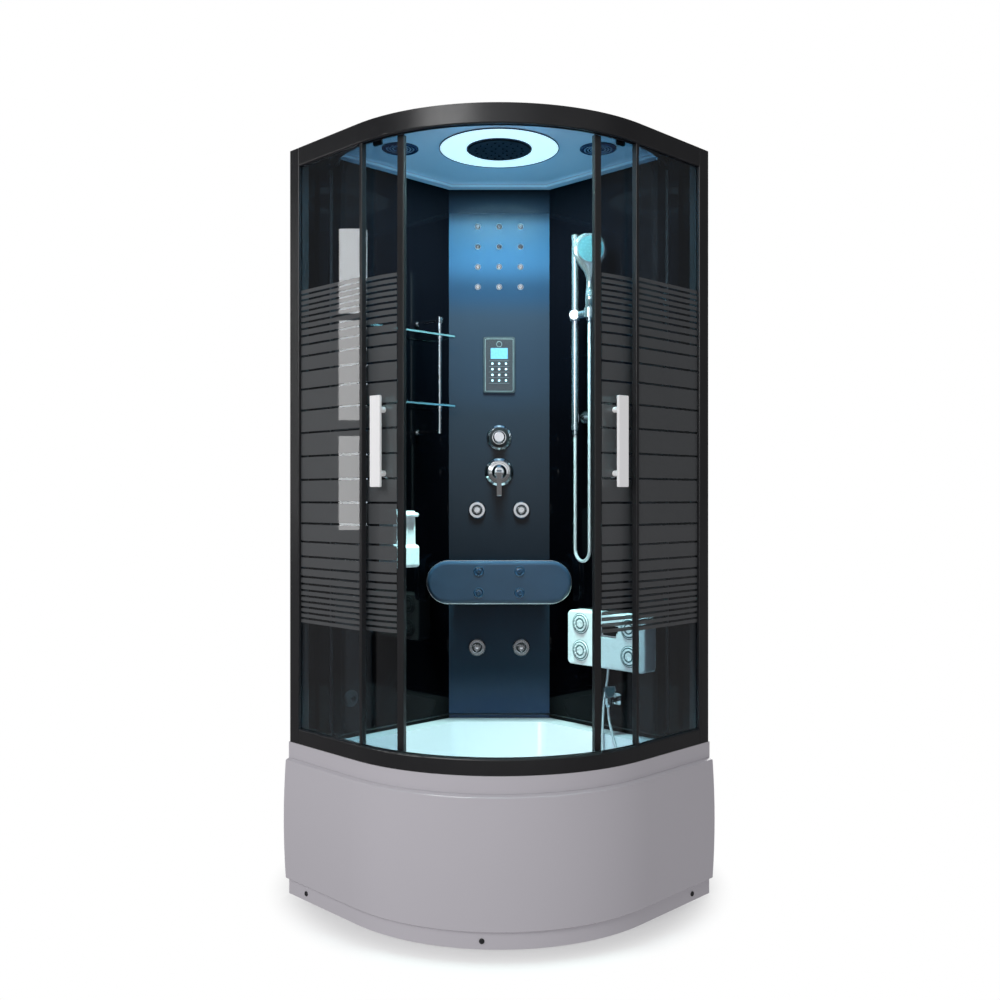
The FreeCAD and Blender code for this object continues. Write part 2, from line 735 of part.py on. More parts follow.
def make_walls():
    """Black glass panels and the aluminium frames behind them, against the house walls."""
    end = s.frame_side - 40.3
    face = wall_face
    pane = plate("back_glass_left",
                 rounded([(BACK_START, face - s.glass_thick), (end, face - s.glass_thick),
                          (end, face), (BACK_START, face)]),
                 s.head_top - 0.4 - s.deck_high, s.deck_high + 0.3)
    keep(pane)
    keep(mirrored("back_glass_right", pane))
    frame = new_body("back_frame_left", CORNER)
    depth = face - s.glass_thick - 8.2
    low = s.rim_top
    high = s.head_top - 0.3
    outline = draw(new_sketch(frame, "XZ", 0.0 - depth - 8.0), box_outline(BACK_START, low, end, high))
    pad(frame, outline, depth)
    bar = 36.0
    skin = 3.0
    third = (high - low - bar) / 3
    channel = draw(new_sketch(frame, "XZ", -8),
                   box_outline(BACK_START + skin, low + skin, end - skin, high - skin))
    windows = new_sketch(frame, "XZ")
    for i in range(3):
        bottom = low + third * i
        draw(windows, box_outline(BACK_START + bar, bottom + bar, end - bar, bottom + third, 6.0))
        draw(channel, box_outline(BACK_START + bar - skin, bottom + bar - skin, end - bar + skin,
                                  bottom + third + skin, 6.0))
    pocket(frame, channel, depth - skin)
    pocket(frame, windows, both=True)
    group("back_frame", [frame, mirrored("back_frame_right", frame)])


# ---------------------------------------------------------------- control column

PANEL_HIGH = 1615.0
DIVERTER_HIGH = 1374.0
MIXER_HIGH = 1259.0
SMALL_JET_HIGH = 2077.0
UPPER_JET_HIGH = 1133.0
LOWER_JET_HIGH = 676.0
PAD_HIGH = 900.0
BALL = 19.5              # radius of a swivelling jet
SOCKET = 25.0            # radius of the socket that holds it
NOZZLE = 4.9             # radius of a small jet's shank
PAD_JETS = [(-66.0, -33.0), (66.0, -33.0), (-66.0, 37.0), (66.0, 37.0)]
LEVER_PIVOT = 38.5       # the lever's pin, out from the column's face
INLET_HALF = 42.0
INLET_RADIUS = 10.45     # outside of a half-inch pipe thread


def large_jets():
    half = s.jet_half.value
    return [(x, z) for z in (UPPER_JET_HIGH, LOWER_JET_HIGH) for x in (-half, half)]


def make_column():
    """The diagonal panel that closes the corner, cut out for every fitting."""
    body = new_body("column_panel", CORNER)
    reach = s.column_depth * math.sqrt(2)          # x + y on the face
    edge = wall_face + 0.2
    back = reach - 5 * math.sqrt(2)
    outline = [(reach - edge, edge), (edge, reach - edge), (edge, back - edge), (back - edge, edge)]
    pad(body, draw(new_sketch(body, "XY", s.deck_high + 0.3), rounded(outline)),
        s.head_top - 0.6 - s.deck_high)
    holes = radial_sketch(body, FRONT)
    for column in (-1, 0, 1):
        for row in range(4):
            draw_circle(holes, (s.jet_pitch * column, SMALL_JET_HIGH - s.jet_rise * row), NOZZLE + 0.3)
    for x, z in large_jets():
        draw_circle(holes, (x, z), SOCKET + 0.2)
    draw_circle(holes, (0, DIVERTER_HIGH), 18.2)
    draw_circle(holes, (0, MIXER_HIGH), 24.2)
    draw(holes, box_outline(-46, PANEL_HIGH - 86, 46, PANEL_HIGH + 86, 4.0))
    for x in (-90, 90):
        draw_circle(holes, (x, PAD_HIGH), 6.2)
    pocket(body, holes, both=True)
    keep(body)


def make_jet_fittings():
    """Twelve small nozzles and the four ring sockets of the swivelling jets."""
    small = turned("small_jet_source",
                   [(2.2, -12), (NOZZLE, -12), (NOZZLE, 0), (8, 0), (8, 2.5), (5.5, 5), (2.2, 5)],
                   Placement())
    seat = BALL + 0.06
    lip = math.sqrt(seat ** 2 - 8.0 ** 2)
    outline = [(seat, 0), (seat + 0.4, -5), (21.3, -9), (21.3, -26), (SOCKET, -26), (SOCKET, 0), (29, 0),
               (29, 5), (25.5, 9.2), (lip + 0.9, 9.2), (lip, 8)]
    segments = [("line", a, b) for a, b in zip(outline, outline[1:])]
    segments.append(("arc", (lip, 8), (seat, 0), (0, 0), seat, False))
    ring = new_body("jet_ring_source")
    revolve(ring, draw(new_sketch(ring, "XZ"), segments))
    places = [on_column(s.jet_pitch.value * column, SMALL_JET_HIGH - s.jet_rise.value * row)
              for column in (-1, 0, 1) for row in range(4)]
    nozzles = copies("small_jets", small, places)
    sockets = copies("jet_rings", ring, [on_column(x, z) for x, z in large_jets()])
    group("jet_fittings", [nozzles, sockets])


def make_jet_balls():
    """The swivelling ball of each large jet, flat at the front, with its nozzle hole."""
    flat = 9.0
    rim = math.sqrt(BALL ** 2 - flat ** 2)
    back = math.sqrt(BALL ** 2 - 13.5 ** 2)
    for index, (x, z) in enumerate(large_jets(), 1):
        body = new_body("jet_ball_%d" % index, on_column(x, z))
        sphere = [("line", (0, -back), (13.5, -back)),
                  ("arc", (13.5, -back), (rim, flat), (0, 0), BALL, True),
                  ("line", (rim, flat), (0, flat)), ("line", (0, flat), (0, -back))]
        revolve(body, draw(new_sketch(body, "XZ"), sphere))
        nose = draw(new_sketch(body, "XZ"), rounded([(5, flat - 1), (11, flat - 1), (9, flat + 4),
                                                     (5, flat + 4)]))
        revolve(body, nose)
        pocket(body, draw_circle(new_sketch(body, "XY", flat), (0, 0), 5), 12)
        keep(body)


def make_control_panel():
    """The bezel with its sunk face and the electronics box behind it."""
    body = new_body("control_panel", on_column(0, PANEL_HIGH))
    front = pad(body, draw(new_sketch(body, "XY"), box_outline(-53, -93.5, 53, 93.5, 8.0)), 6)
    dress("Fillet", body, front, lambda e: e.BoundBox.ZMin > 5.9, 1.2)
    face = draw(new_sketch(body, "XY", 6), box_outline(-50, -90.5, 50, 90.5, 5.0))
    pocket(body, face, 1.0)
    pad(body, draw(new_sketch(body, "XY"), box_outline(-45.5, -85.5, 45.5, 85.5, 4.0)), 34,
        back=True)
    keep(body)


def make_diverter():
    """Concealed diverter: plate, body and branch pipes, and a knob with sixteen flutes."""
    body = new_body("diverter_valve", on_column(0, DIVERTER_HIGH))
    profile = [(0, -58), (17, -58), (17, -50), (15, -48), (15, -20), (18, -18), (18, 0), (42, 0),
               (41, 4), (34, 7.5), (23, 9), (6, 9), (6, 24), (0, 24)]
    revolve(body, draw(new_sketch(body, "XZ"), rounded(profile, [0, 0, 0, 0, 0, 0, 0, 0, 2, 3,
                                                                 0, 0, 0, 0])))
    pad(body, draw_circle(new_sketch(body, "XZ"), (0, -34), 8), 34, both=True)
    keep(body)
    knob = new_body("diverter_knob", on_column(0, DIVERTER_HIGH))
    shape = [(6.05, 10), (20, 10), (21.5, 13), (20.5, 34), (17, 38), (0, 38), (0, 24.3),
             (6.05, 24.3)]
    revolve(knob, draw(new_sketch(knob, "XZ"), rounded(shape, [0, 1, 3, 3, 4, 0, 0, 0])))
    flute = pocket(knob, draw_circle(new_sketch(knob, "XY", 38), (22.6, 0), 2.4), 26)
    spin_pattern(knob, flute, 16)
    keep(knob)


def make_mixer():
    """Concealed single-lever mixer: plate, valve body with two inlets, cap and lever."""
    body = new_body("mixer_valve", on_column(0, MIXER_HIGH))
    profile = [(0, -62), (23, -62), (24, -60), (24, 0), (48, 0), (47, 5), (38, 10), (25, 12),
               (19, 12), (19, 26), (0, 26)]
    revolve(body, draw(new_sketch(body, "XZ"),
                       rounded(profile, [0, 0, 0, 0, 0, 3, 4, 0, 0, 0, 0])))
    bridge = draw(new_sketch(body, "XY", -30), box_outline(-58, -14, 58, 14, 6.0))
    pad(body, bridge, 26, back=True)
    for x in (-INLET_HALF, INLET_HALF):
        pad(body, draw_circle(new_sketch(body, "XY", -50), (x, 0), INLET_RADIUS), 34, back=True)
        nut = [(x + p, q) for p, q in (polar(60 * i, 14) for i in range(6))]
        pad(body, draw(new_sketch(body, "XY", -56), rounded(nut)), 8, back=True)
    keep(body)
    cap = new_body("mixer_cap", on_column(0, MIXER_HIGH))
    shape = [(19.05, 13), (24, 13), (25, 16), (24, 34), (16, 41), (0, 43), (0, 26.3), (19.05, 26.3)]
    revolve(cap, draw(new_sketch(cap, "XZ"), rounded(shape, [0, 0, 2, 6, 6, 0, 0, 0])))
    # the lever's fork sits in a slot across the cap, on a pin
    slot = draw(new_sketch(cap, "XY", 60), box_outline(-8.3, -40, 8.3, 9))
    pocket(cap, slot, 27.5)
    pocket(cap, draw_circle(new_sketch(cap, "YZ"), (0, LEVER_PIVOT), 2.26), 22.6, both=True)
    keep(cap)
    lever = new_body("mixer_lever", on_column(0, MIXER_HIGH))
    side = [(-8, 33.8), (5.2, 33.8), (5.6, 43.5), (0, 50), (-26, 45), (-80, 33), (-81, 27.5),
            (-28, 35.5), (-14, 33.8)]
    outline = draw(new_sketch(lever, "YZ"), rounded(side, [0, 4.5, 3, 5, 8, 2, 2, 6, 0]))
    pad(lever, outline, 16, both=True)
    pad(lever, draw_circle(new_sketch(lever, "YZ"), (0, LEVER_PIVOT), 2.2), 22, both=True)
    keep(lever)


def capsule(length, high, shrink=0.0):
    x = (length - high) * 0.5
    radius = high * 0.5 - shrink
    return [("line", (-x, -radius), (x, -radius)),
            ("arc", (x, -radius), (x, radius), (x, 0), radius, True),
            ("line", (x, radius), (-x, radius)),
            ("arc", (-x, radius), (-x, -radius), (-x, 0), radius, True)]


def make_pad():
    """Moulded massage pad on its pedestal, with four jets sunk in its face."""
    gap = 76.0
    body = new_body("massage_pad", on_column(0, PAD_HIGH))
    pedestal = draw(new_sketch(body, "XY", 0.1), capsule(290.0, 88.0))
    pad(body, pedestal, gap + 0.5)
    cushion = pad(body, draw(new_sketch(body, "XY", gap), capsule(s.pad_length, s.pad_height)),
                  s.pad_thick)
    top = gap + s.pad_thick.value
    dress("Fillet", body, cushion, lambda e: e.BoundBox.ZMin > top - 0.1, 12.0)
    wells = new_sketch(body, "XY", top)
    for x, y in PAD_JETS:
        draw_circle(wells, (x, y), 17.5)
    pocket(body, wells, 5)
    keep(body)
    jet = turned("pad_jet_source",
                 [(3, -4.9), (17, -4.9), (17, 0.5), (15, 2), (11, 0), (7, 1), (6, 3.5), (3, 3.5)],
                 Placement())
    keep(copies("pad_jets", jet,
                [on_column(x, PAD_HIGH + y, top) for x, y in PAD_JETS]))


# ---------------------------------------------------------------- roof and ceiling fittings

CEILING_STEP = 9.0       # the ceiling's field lies this much above its lip
LAMP_AHEAD = 104.0       # the ceiling fittings' line ahead of the part's middle
SIDE_RING = 293.0
ROOF_INSET = 12.0        # the roof's edge behind the face of the top rail
ROOF_EDGE = 4.0
ROOF_CROWN = 130.0


def on_ceiling(x, z=0.0):
    """Z points down from the ceiling's field."""
    field = s.head_top.value + CEILING_STEP
    return Placement(Vector(x, -LAMP_AHEAD, field - z), Rotation(Vector(1, 0, 0), 180))


def corner_point(x, ahead):
    """A front-frame place as (x, y) in the corner frame."""
    down = half_depth.value + ahead
    return ((down - x) * ROOT_HALF, (down + x) * ROOT_HALF)


def make_roof():
    """A shallow domed cap with a stepped ceiling, cut out for rose, fan and loudspeaker."""
    body = new_body("roof_cap", CORNER)
    base = s.head_top
    edge = s.frame_side - ROOF_INSET
    crown = s.frame_side - ROOF_CROWN
    pad(body, draw(new_sketch(body, "XY", base), quadrant(edge)), ROOF_EDGE)
    low = draw(new_sketch(body, "XY", base + ROOF_EDGE), quadrant(edge, 2.0))
    high = draw(new_sketch(body, "XY", s.roof_top), quadrant(crown, 40.0))
    loft(body, [low, high])
    skin = 6.0
    field_skin = CEILING_STEP + skin
    dish_low = draw(new_sketch(body, "XY", base + field_skin), quadrant(edge - 46, 24.0))
    dish_high = draw(new_sketch(body, "XY", s.roof_top + 0.5), quadrant(crown - 12, 52.0))
    loft(body, [dish_low, dish_high], cut=True)
    lip = 27.0
    depth = wall_face + lip
    slant = s.column_depth * math.sqrt(2) + lip * math.sqrt(2)
    front = s.frame_side - 48
    field = rounded([(slant - depth, depth), (front, depth), (front, front), (depth, front),
                     (depth, slant - depth)], [0, 0, front - arc_centre, 0, 0])
    pocket(body, draw(new_sketch(body, "XY", base), field), CEILING_STEP, back=True)
    centre = corner_point(0.0, LAMP_AHEAD)
    pocket(body, draw_circle(new_sketch(body, "XY", base), centre, 13), 30, back=True)
    pocket(body, draw_circle(new_sketch(body, "XY", base), corner_point(SIDE_RING, LAMP_AHEAD),
                             47.3), 36, back=True)
    pocket(body, draw_circle(new_sketch(body, "XY", base - 1), corner_point(-SIDE_RING, LAMP_AHEAD),
                             47.3), 60, back=True)
    keep(body)


def make_ceiling_fittings():
    led = turned("led_ring", [(s.rose_radius + 3, 0.1), (s.led_radius, 0.1), (s.led_radius, 2),
                              (s.led_radius - 6, 3.5), (s.rose_radius + 9, 3.5), (s.rose_radius + 3, 2)],
                 on_ceiling(0.0))
    keep(led)
    rose = new_body("overhead_rose", on_ceiling(0.0))
    profile = [(0, -28), (12.5, -28), (12.5, 0.1), (s.rose_radius, 0.1), (s.rose_radius, 5),
               (s.rose_radius - 3, 8), (0, 8)]
    revolve(rose, draw(new_sketch(rose, "XZ"), rounded(profile, [0, 0, 0, 0, 0, 2, 0])))
    for count, radius in ((6, 22.0), (12, 46.0), (18, 70.0)):
        tip = draw(new_sketch(rose, "XY", 7.9), rounded([polar(90 * i, 3, (radius, 0))
                                                        for i in range(4)]))
        nozzle = pad(rose, tip, 2.6)
        spin_pattern(rose, nozzle, count)
    keep(rose)
    fan = new_body("fan_housing", on_ceiling(-SIDE_RING))
    duct = [(43.5, -40), (47, -40), (47, 0.1), (54, 0.1), (54, 3.5), (50, 6), (43.5, 6)]
    revolve(fan, draw(new_sketch(fan, "XZ"), rounded(duct)))
    revolve(fan, draw(new_sketch(fan, "XZ"), rounded([(0, -6), (14, -6), (14, 4), (0, 4)])))
    spoke = pad(fan, draw(new_sketch(fan, "XY", -4), box_outline(13, -2, 44.5, 2)), 6)
    spin_pattern(fan, spoke, 5)
    pad(fan, draw_circle(new_sketch(fan, "XY", -30), (0, 0), 2.5), 25)
    keep(fan)
    make_impeller()
    speaker = turned("loudspeaker",
                     [(0, -26), (26, -26), (26, -14), (46.5, -4), (46.5, 0.1), (54, 0.1), (54, 3.5),
                      (50, 6), (43, 6), (39, 2), (18, -5), (12, 1), (0, 3.5)],
                     on_ceiling(SIDE_RING))
    keep(speaker)


def make_impeller():
    """Seven twisted blades, each a loft from a steep root to a flat tip, round a hub."""
    body = new_body("fan_impeller", on_ceiling(-SIDE_RING))
    hub = [(2.55, -27), (14, -27), (14, -12), (12, -10), (2.55, -10)]
    revolve(body, draw(new_sketch(body, "XZ"), rounded(hub)))
    middle = -18.5
    sections = []
    for radius, half_chord, pitch in ((12.5, 7.0, 52.0), (27.0, 9.0, 36.0), (41.5, 10.0, 26.0)):
        turn = math.radians(pitch)
        c, q = math.cos(turn), math.sin(turn)
        thick = 0.8
        corners = [(-half_chord, -thick), (half_chord, -thick), (half_chord, thick),
                   (-half_chord, thick)]
        points = [(x * c - y * q, middle + (x * q + y * c)) for x, y in corners]
        sections.append(draw(new_sketch(body, "YZ", radius), rounded(points)))
    blade = loft(body, sections)
    spin_pattern(body, blade, 7)
    keep(body)


# ---------------------------------------------------------------- wall fittings

POST_ALONG = 377.0
POST_OFF = 110.0
POST_LOW = 1385.0
POST_HIGH = 1736.0
SHELF_HIGHS = (1464.0, 1686.0)
SHELF_START = 312.0
SHELF_END = 682.0
SHELF_DEPTH = 121.0
BRACKET_ALONG = 636.0


def rod(body, at, z, radius, start, end):
    """A round bar off the wall: its own pad along y."""
    sketch = draw_circle(new_sketch(body, "XZ", 0.0 - start), (at, z), radius)
    return pad(body, sketch, end - start, back=True)


def make_shelves():
    """A chrome post on two arms carries the shelves at one end, wall brackets at the other."""
    body = new_body("shelf_post", left_wall(0.0, 0.0, 0.0))
    tube = draw_circle(new_sketch(body, "XY", POST_LOW - 8), (POST_ALONG, POST_OFF), s.post_tube)
    pad(body, tube, POST_HIGH - POST_LOW + 14)
    for z in (POST_LOW, POST_HIGH):
        rod(body, POST_ALONG, z, 5, 0.2, POST_OFF)
        rod(body, POST_ALONG, z, 9, 0.1, 6)
    cap = draw(new_sketch(body, "XY", POST_HIGH - 9),
               box_outline(POST_ALONG - 9, POST_OFF - 9, POST_ALONG + 9, POST_OFF + 9, 3.0))
    pad(body, cap, 18)
    for z in SHELF_HIGHS:
        collar = draw_circle(new_sketch(body, "XY", z - 8), (POST_ALONG, POST_OFF), 10)
        pad(body, collar, 7.8)
    for z in SHELF_HIGHS:
        clamp = draw(new_sketch(body, "YZ", BRACKET_ALONG - 11),
                     rounded([(0.1, z - 14), (12, z - 14), (34, z - 5), (34, z - 0.2),
                              (0.1, z - 0.2)], [0, 3, 2, 0, 0]))
        pad(body, clamp, 22)
    keep(body)
    pane = new_body("shelf_source")
    outline = draw(new_sketch(pane, "XY"),
                   box_outline(SHELF_START, 3, SHELF_END, SHELF_DEPTH, 14.0))
    pad(pane, outline, s.glass_thick)
    hole = draw_circle(new_sketch(pane, "XY", s.glass_thick), (POST_ALONG, POST_OFF),
                       s.post_tube + 0.4)
    pocket(pane, hole)
    keep(copies("glass_shelves", pane, [left_wall(0.0, 0.0, z) for z in SHELF_HIGHS]))


SOAP_ALONG = 487.0
SOAP_LOW = 956.0


def make_soap():
    """Wall dispenser: reservoir, overhanging head with a push button, and a drip tray."""
    body = new_body("soap_dispenser", left_wall(SOAP_ALONG, 0.0, SOAP_LOW))
    side = [(0.1, 0), (80, 0), (88, 8), (88, 62), (82, 68), (70, 70), (68, 157), (82, 158),
            (85, 162), (85, 167), (82, 170), (68, 171), (66, 176), (0.1, 176)]
    radii = [0, 3, 4, 4, 3, 2, 1, 1, 2, 2, 1, 1, 2, 0]
    pad(body, draw(new_sketch(body, "YZ"), rounded(side, radii)), 88, both=True)
    well = draw(new_sketch(body, "XY", 176), box_outline(-17.4, 24.6, 17.4, 56.4, 5.0))
    pocket(body, well, 10)
    keep(body)
    button = new_body("soap_button", left_wall(SOAP_ALONG, 0.0, SOAP_LOW))
    block = pad(button, draw(new_sketch(button, "XY", 173.5),
                             box_outline(-17, 25, 17, 56, 4.6)), 8.5)
    dress("Fillet", button, block, lambda e: e.BoundBox.ZMin > 181.9, 2.0)
    keep(button)


RAIL_ALONG = 398.0
RAIL_OFF = 55.0
RAIL_LOW = 1390.0
RAIL_HIGH = 2008.0
SLIDER_HIGH = 1753.0
CRADLE_ALONG = 470.0
CRADLE_OFF = 70.0


def make_slide_rail():
    """Rail tube on two wall stand-offs, with end caps, joint rings and the hose outlet."""
    body = new_body("slide_rail", right_wall(RAIL_ALONG, 0.0, 0.0))
    pad(body, draw_circle(new_sketch(body, "XY", RAIL_LOW), (RAIL_OFF, 0), s.rail_tube),
        RAIL_HIGH - RAIL_LOW)
    for z, high in ((RAIL_LOW, 16.0), (1467.0, 5.0), (1922.0, 5.0), (RAIL_HIGH - 12, 14.0)):
        pad(body, draw_circle(new_sketch(body, "XY", z), (RAIL_OFF, 0), s.rail_tube + 1.2), high)
    for z in (1432.0, 1972.0):
        pad(body, draw_circle(new_sketch(body, "YZ", 0.1), (0, z), 8), RAIL_OFF)
        pad(body, draw_circle(new_sketch(body, "YZ", 0.1), (0, z), 19), 7)
    nut = draw_circle(new_sketch(body, "XY", RAIL_LOW - 16), (RAIL_OFF, 0), 8.5)
    pad(body, nut, 17)
    keep(body)


def slider_frame():
    """At the rail; x points along the arm towards the cradle, z is up."""
    du = CRADLE_ALONG - RAIL_ALONG
    do = CRADLE_OFF - RAIL_OFF
    angle = math.degrees(math.atan2(du, do))
    spin = Rotation(Vector(0, 0, 1), angle)
    return right_wall(RAIL_ALONG, RAIL_OFF, SLIDER_HIGH, spin), math.hypot(du, do)


KNOB_TURN = -45.0        # the clamp knob's direction from the arm


def make_slider():
    """Clamp ring with its knob and axle, and the tilting cradle with a conical seat."""
    place, reach = slider_frame()
    body = new_body("rail_slider", place)
    for axis, start, radius, length in (("XY", -16, 17, 32), ("YZ", 0, 12, reach - 21),
                                        ("YZ", reach - 23, 5, 10)):
        pad(body, draw_circle(new_sketch(body, axis, start), (0, 0), radius), length)
    for start, radius, length in ((0, 11.0, 21), (19, 15.0, 8), (26, 12.0, 4)):
        knob = draw_circle(radial_sketch(body, KNOB_TURN, start), (0, 0), radius)
        pad(body, knob, length)
    pocket(body, draw_circle(new_sketch(body, "XY"), (0, 0), s.rail_tube + 0.06), both=True)
    keep(body)
    cradle = new_body("handset_cradle", place)
    pad(cradle, draw_circle(new_sketch(cradle, "XY", -15), (reach, 0), 16.5), 30)
    pad(cradle, draw_circle(new_sketch(cradle, "YZ", reach - 20.5), (0, 0), 11), 8)
    low = draw_circle(new_sketch(cradle, "XY", -15.1), (reach, 0), 10.4)
    high = draw_circle(new_sketch(cradle, "XY", 15.1), (reach, 0), 12.4)
    loft(cradle, [low, high], cut=True)
    bore = draw_circle(new_sketch(cradle, "YZ", reach - 21), (0, 0), 5.06)
    pocket(cradle, bore, 9.0, back=True)
    keep(cradle)


HANDSET_TURN = 52.0     # the spray face's direction, in the corner frame
HEAD_HIGH = 222.0       # middle of the spray face above the handset's foot


def make_handset():
    """Teardrop hand shower lofted through ellipses, with a round spray face."""
    place = right_wall(CRADLE_ALONG, CRADLE_OFF, SLIDER_HIGH - 26,
                       Rotation(Vector(0, 0, 1), HANDSET_TURN))
    body = new_body("hand_shower", place)
    # (height, half width, half thickness, how far the section leans forward)
    rings = ((41.5, 12.0, 12.0, 0.0), (100.0, 10.5, 10.0, 0.0), (135.0, 11.5, 10.0, 1.0),
             (163.0, 27.0, 10.5, 4.0), (190.0, 46.0, 11.0, 6.0), (HEAD_HIGH, 54.0, 11.5, 7.0),
             (253.0, 44.0, 9.0, 7.0), (272.0, 18.0, 4.0, 6.0))
    cone = [draw_circle(new_sketch(body, "XY", 0.0), (0, 0), 9.3),
            draw_circle(new_sketch(body, "XY", 41.5), (0, 0), 12.0)]
    loft(body, cone)
    sections = []
    for high, wide, thick, lean in rings:
        sketch = new_sketch(body, "XY", high)
        centre = Vector(lean, 0, 0)
        if wide > thick:
            shape = Part.Ellipse(centre + Vector(0, wide, 0), centre + Vector(thick, 0, 0), centre)
        else:
            shape = Part.Circle(centre, Vector(0, 0, 1), wide)
        sketch.addGeometry(shape)
        sections.append(sketch)
    loft(body, sections)
    face = draw_circle(new_sketch(body, "YZ", 12), (0, HEAD_HIGH), 45)
    disc = pad(body, face, 8.5)
    dress("Fillet", body, disc, lambda e: e.BoundBox.XMin > 20.4, 2.0)
    keep(body)


def tube_along(label, points, radius):
    """A plain tube: straight runs joined by arcs as large as each pair of runs allows."""
    places = [Vector(*p) for p in points]
    edges = []
    radii = []
    at = places[0]
    for i in range(1, len(places) - 1):
        before = places[i] - places[i - 1]
        after = places[i + 1] - places[i]
        turn = before.getAngle(after)
        reach = 0.45 * min(before.Length, after.Length)
        bend = reach / math.tan(turn / 2)
        radii.append(bend)
        start = places[i] - before.normalize() * reach
        end = places[i] + after.normalize() * reach
        inward = (end + start) * 0.5 - places[i]
        middle = places[i] + inward.normalize() * (bend / math.cos(turn / 2) - bend)
        edges.append(Part.LineSegment(at, start).toShape())
        edges.append(Part.Arc(start, middle, end).toShape())
        at = end
    edges.append(Part.LineSegment(at, places[-1]).toShape())
    path = Part.Wire(edges)
    direction = (places[1] - places[0]).normalize()
    section = Part.Wire(Part.Circle(places[0], direction, radius).toShape())
    solid = path.makePipeShell([section], True, False)
    length = path.Length
    share = solid.Volume / (math.pi * radius ** 2 * length)
    print("%s: length %.0f, tightest bend %.1f, volume against section %.4f"
          % (label, length, min(radii), share))
    item = doc.addObject("Part::Feature", label)
    item.Shape = solid
    item.Label = label
    return keep(item)


def right_wall_point(along_wall, off, z):
    """A right-wall place in the front frame."""
    place = right_wall(along_wall, off, z).Base
    return (place.x, place.y, place.z)


# Routes as (along the wall, off the wall, height), chosen by hand.
SHOWER_HOSE = [(398.0, 55.0, 1373.7), (398.0, 55.0, 994.8), (419.1, 59.4, 973.2),
               (448.9, 65.6, 973.2), (470.0, 70.0, 994.8), (470.0, 70.0, 1726.7)]
SPRAYER_HOSE = [(515.0, 34.0, 642.7), (514.0, 33.0, 612.0), (499.0, 30.0, 566.0),
                (501.0, 42.0, 510.0), (520.0, 68.0, 455.0), (538.0, 90.0, 400.0),
                (545.0, 96.0, 360.0), (564.0, 100.0, 341.0), (590.0, 100.0, 341.0),
                (608.0, 96.0, 360.0), (598.0, 90.0, 400.0), (564.0, 75.0, 452.0),
                (533.0, 55.0, 496.0), (530.0, 51.0, 524.3)]


def make_hoses():
    for label, route, radius in (("shower_hose", SHOWER_HOSE, s.hose_radius),
                                 ("sprayer_hose", SPRAYER_HOSE, s.thin_hose_radius)):
        tube_along(label, [right_wall_point(*p) for p in route], radius.value)


MASSAGER_START = 365.0
MASSAGER_END = 671.0
MASSAGER_LOW = 643.0
MASSAGER_HIGH = 815.0
MASSAGER_DEPTH = 56.0
FOOT_PADS = [(421.0, 775.0), (421.0, 690.0), (615.0, 775.0), (615.0, 690.0)]


def make_massager():
    """Wall box with a sunk grip and four nubby foot pads."""
    body = new_body("massager_box", right_wall(0.0, 0.0, 0.0))
    outline = draw(new_sketch(body, "YZ", 0.1),
                   box_outline(MASSAGER_START, MASSAGER_LOW, MASSAGER_END, MASSAGER_HIGH, 16.0))
    box = pad(body, outline, MASSAGER_DEPTH)
    dress("Fillet", body, box, lambda e: e.BoundBox.XMin > MASSAGER_DEPTH, 6.0)
    face = MASSAGER_DEPTH + 0.1
    grip = rounded([(484, 739), (564, 739), (575, 778), (473, 778)], 4.0)
    pocket(body, draw(new_sketch(body, "YZ", face), grip), 34)
    back = box_outline(MASSAGER_START + 4, MASSAGER_LOW + 4, MASSAGER_END - 4, MASSAGER_HIGH - 4, 12.0)
    pocket(body, draw(new_sketch(body, "YZ", 0.1), back), 18, back=True)
    disc = turned("foot_pad_source", [(0, 0.1), (31, 0.1), (31, 1.6), (29, 3), (0, 4.2)], Placement())
    for count, radius in ((6, 10.0), (12, 21.0)):
        tip = draw(new_sketch(disc, "XY", 2.5), rounded([polar(90 * i, 3.4, (radius, 0))
                                                        for i in range(4)]))
        nub = pad(disc, tip, 3.6)
        spin_pattern(disc, nub, count)
    pads = copies("foot_pads", disc, [right_wall(u, face, z, UP_TO_X) for u, z in FOOT_PADS])
    group("foot_massager", [body, pads])


SPRAYER_ALONG = 530.0
SPRAYER_OFF = 51.0


def make_sprayer():
    """Wall hook and the small foot sprayer that hangs in it."""
    hook = new_body("sprayer_holder", right_wall(SPRAYER_ALONG, 0.0, 0.0))
    pad(hook, draw(new_sketch(hook, "YZ", 0.1), box_outline(-14, 526, 14, 562, 6.0)), 7)
    pad(hook, draw(new_sketch(hook, "XY", 538), box_outline(6, -7, SPRAYER_OFF, 7)), 12)
    pad(hook, draw_circle(new_sketch(hook, "XY", 534), (SPRAYER_OFF, 0), 13), 20)
    pocket(hook, draw_circle(new_sketch(hook, "XY", 554), (SPRAYER_OFF, 0), 8.4))
    keep(hook)
    place = right_wall(SPRAYER_ALONG, SPRAYER_OFF, 0.0, Rotation(Vector(0, 0, 1), HANDSET_TURN))
    body = new_body("foot_sprayer", place)
    stem = [(0, 525), (7, 525), (8, 531), (8, 554.5), (10, 558), (9, 575), (0, 575)]
    revolve(body, draw(new_sketch(body, "XZ"), rounded(stem)))
    # (distance along the spray axis, size of the teardrop outline, its corners' radius)
    outline = ((-9, -18), (9, -18), (20, 6), (16, 18), (-16, 18), (-20, 6))
    head = [draw(new_sketch(body, "YZ", x), rounded([(u * size, 575 + v * size) for u, v in outline],
                                                    radius))
            for x, size, radius in ((-9.0, 0.5, 2.0), (22.0, 1.0, 4.0))]
    loft(body, head)
    keep(body)


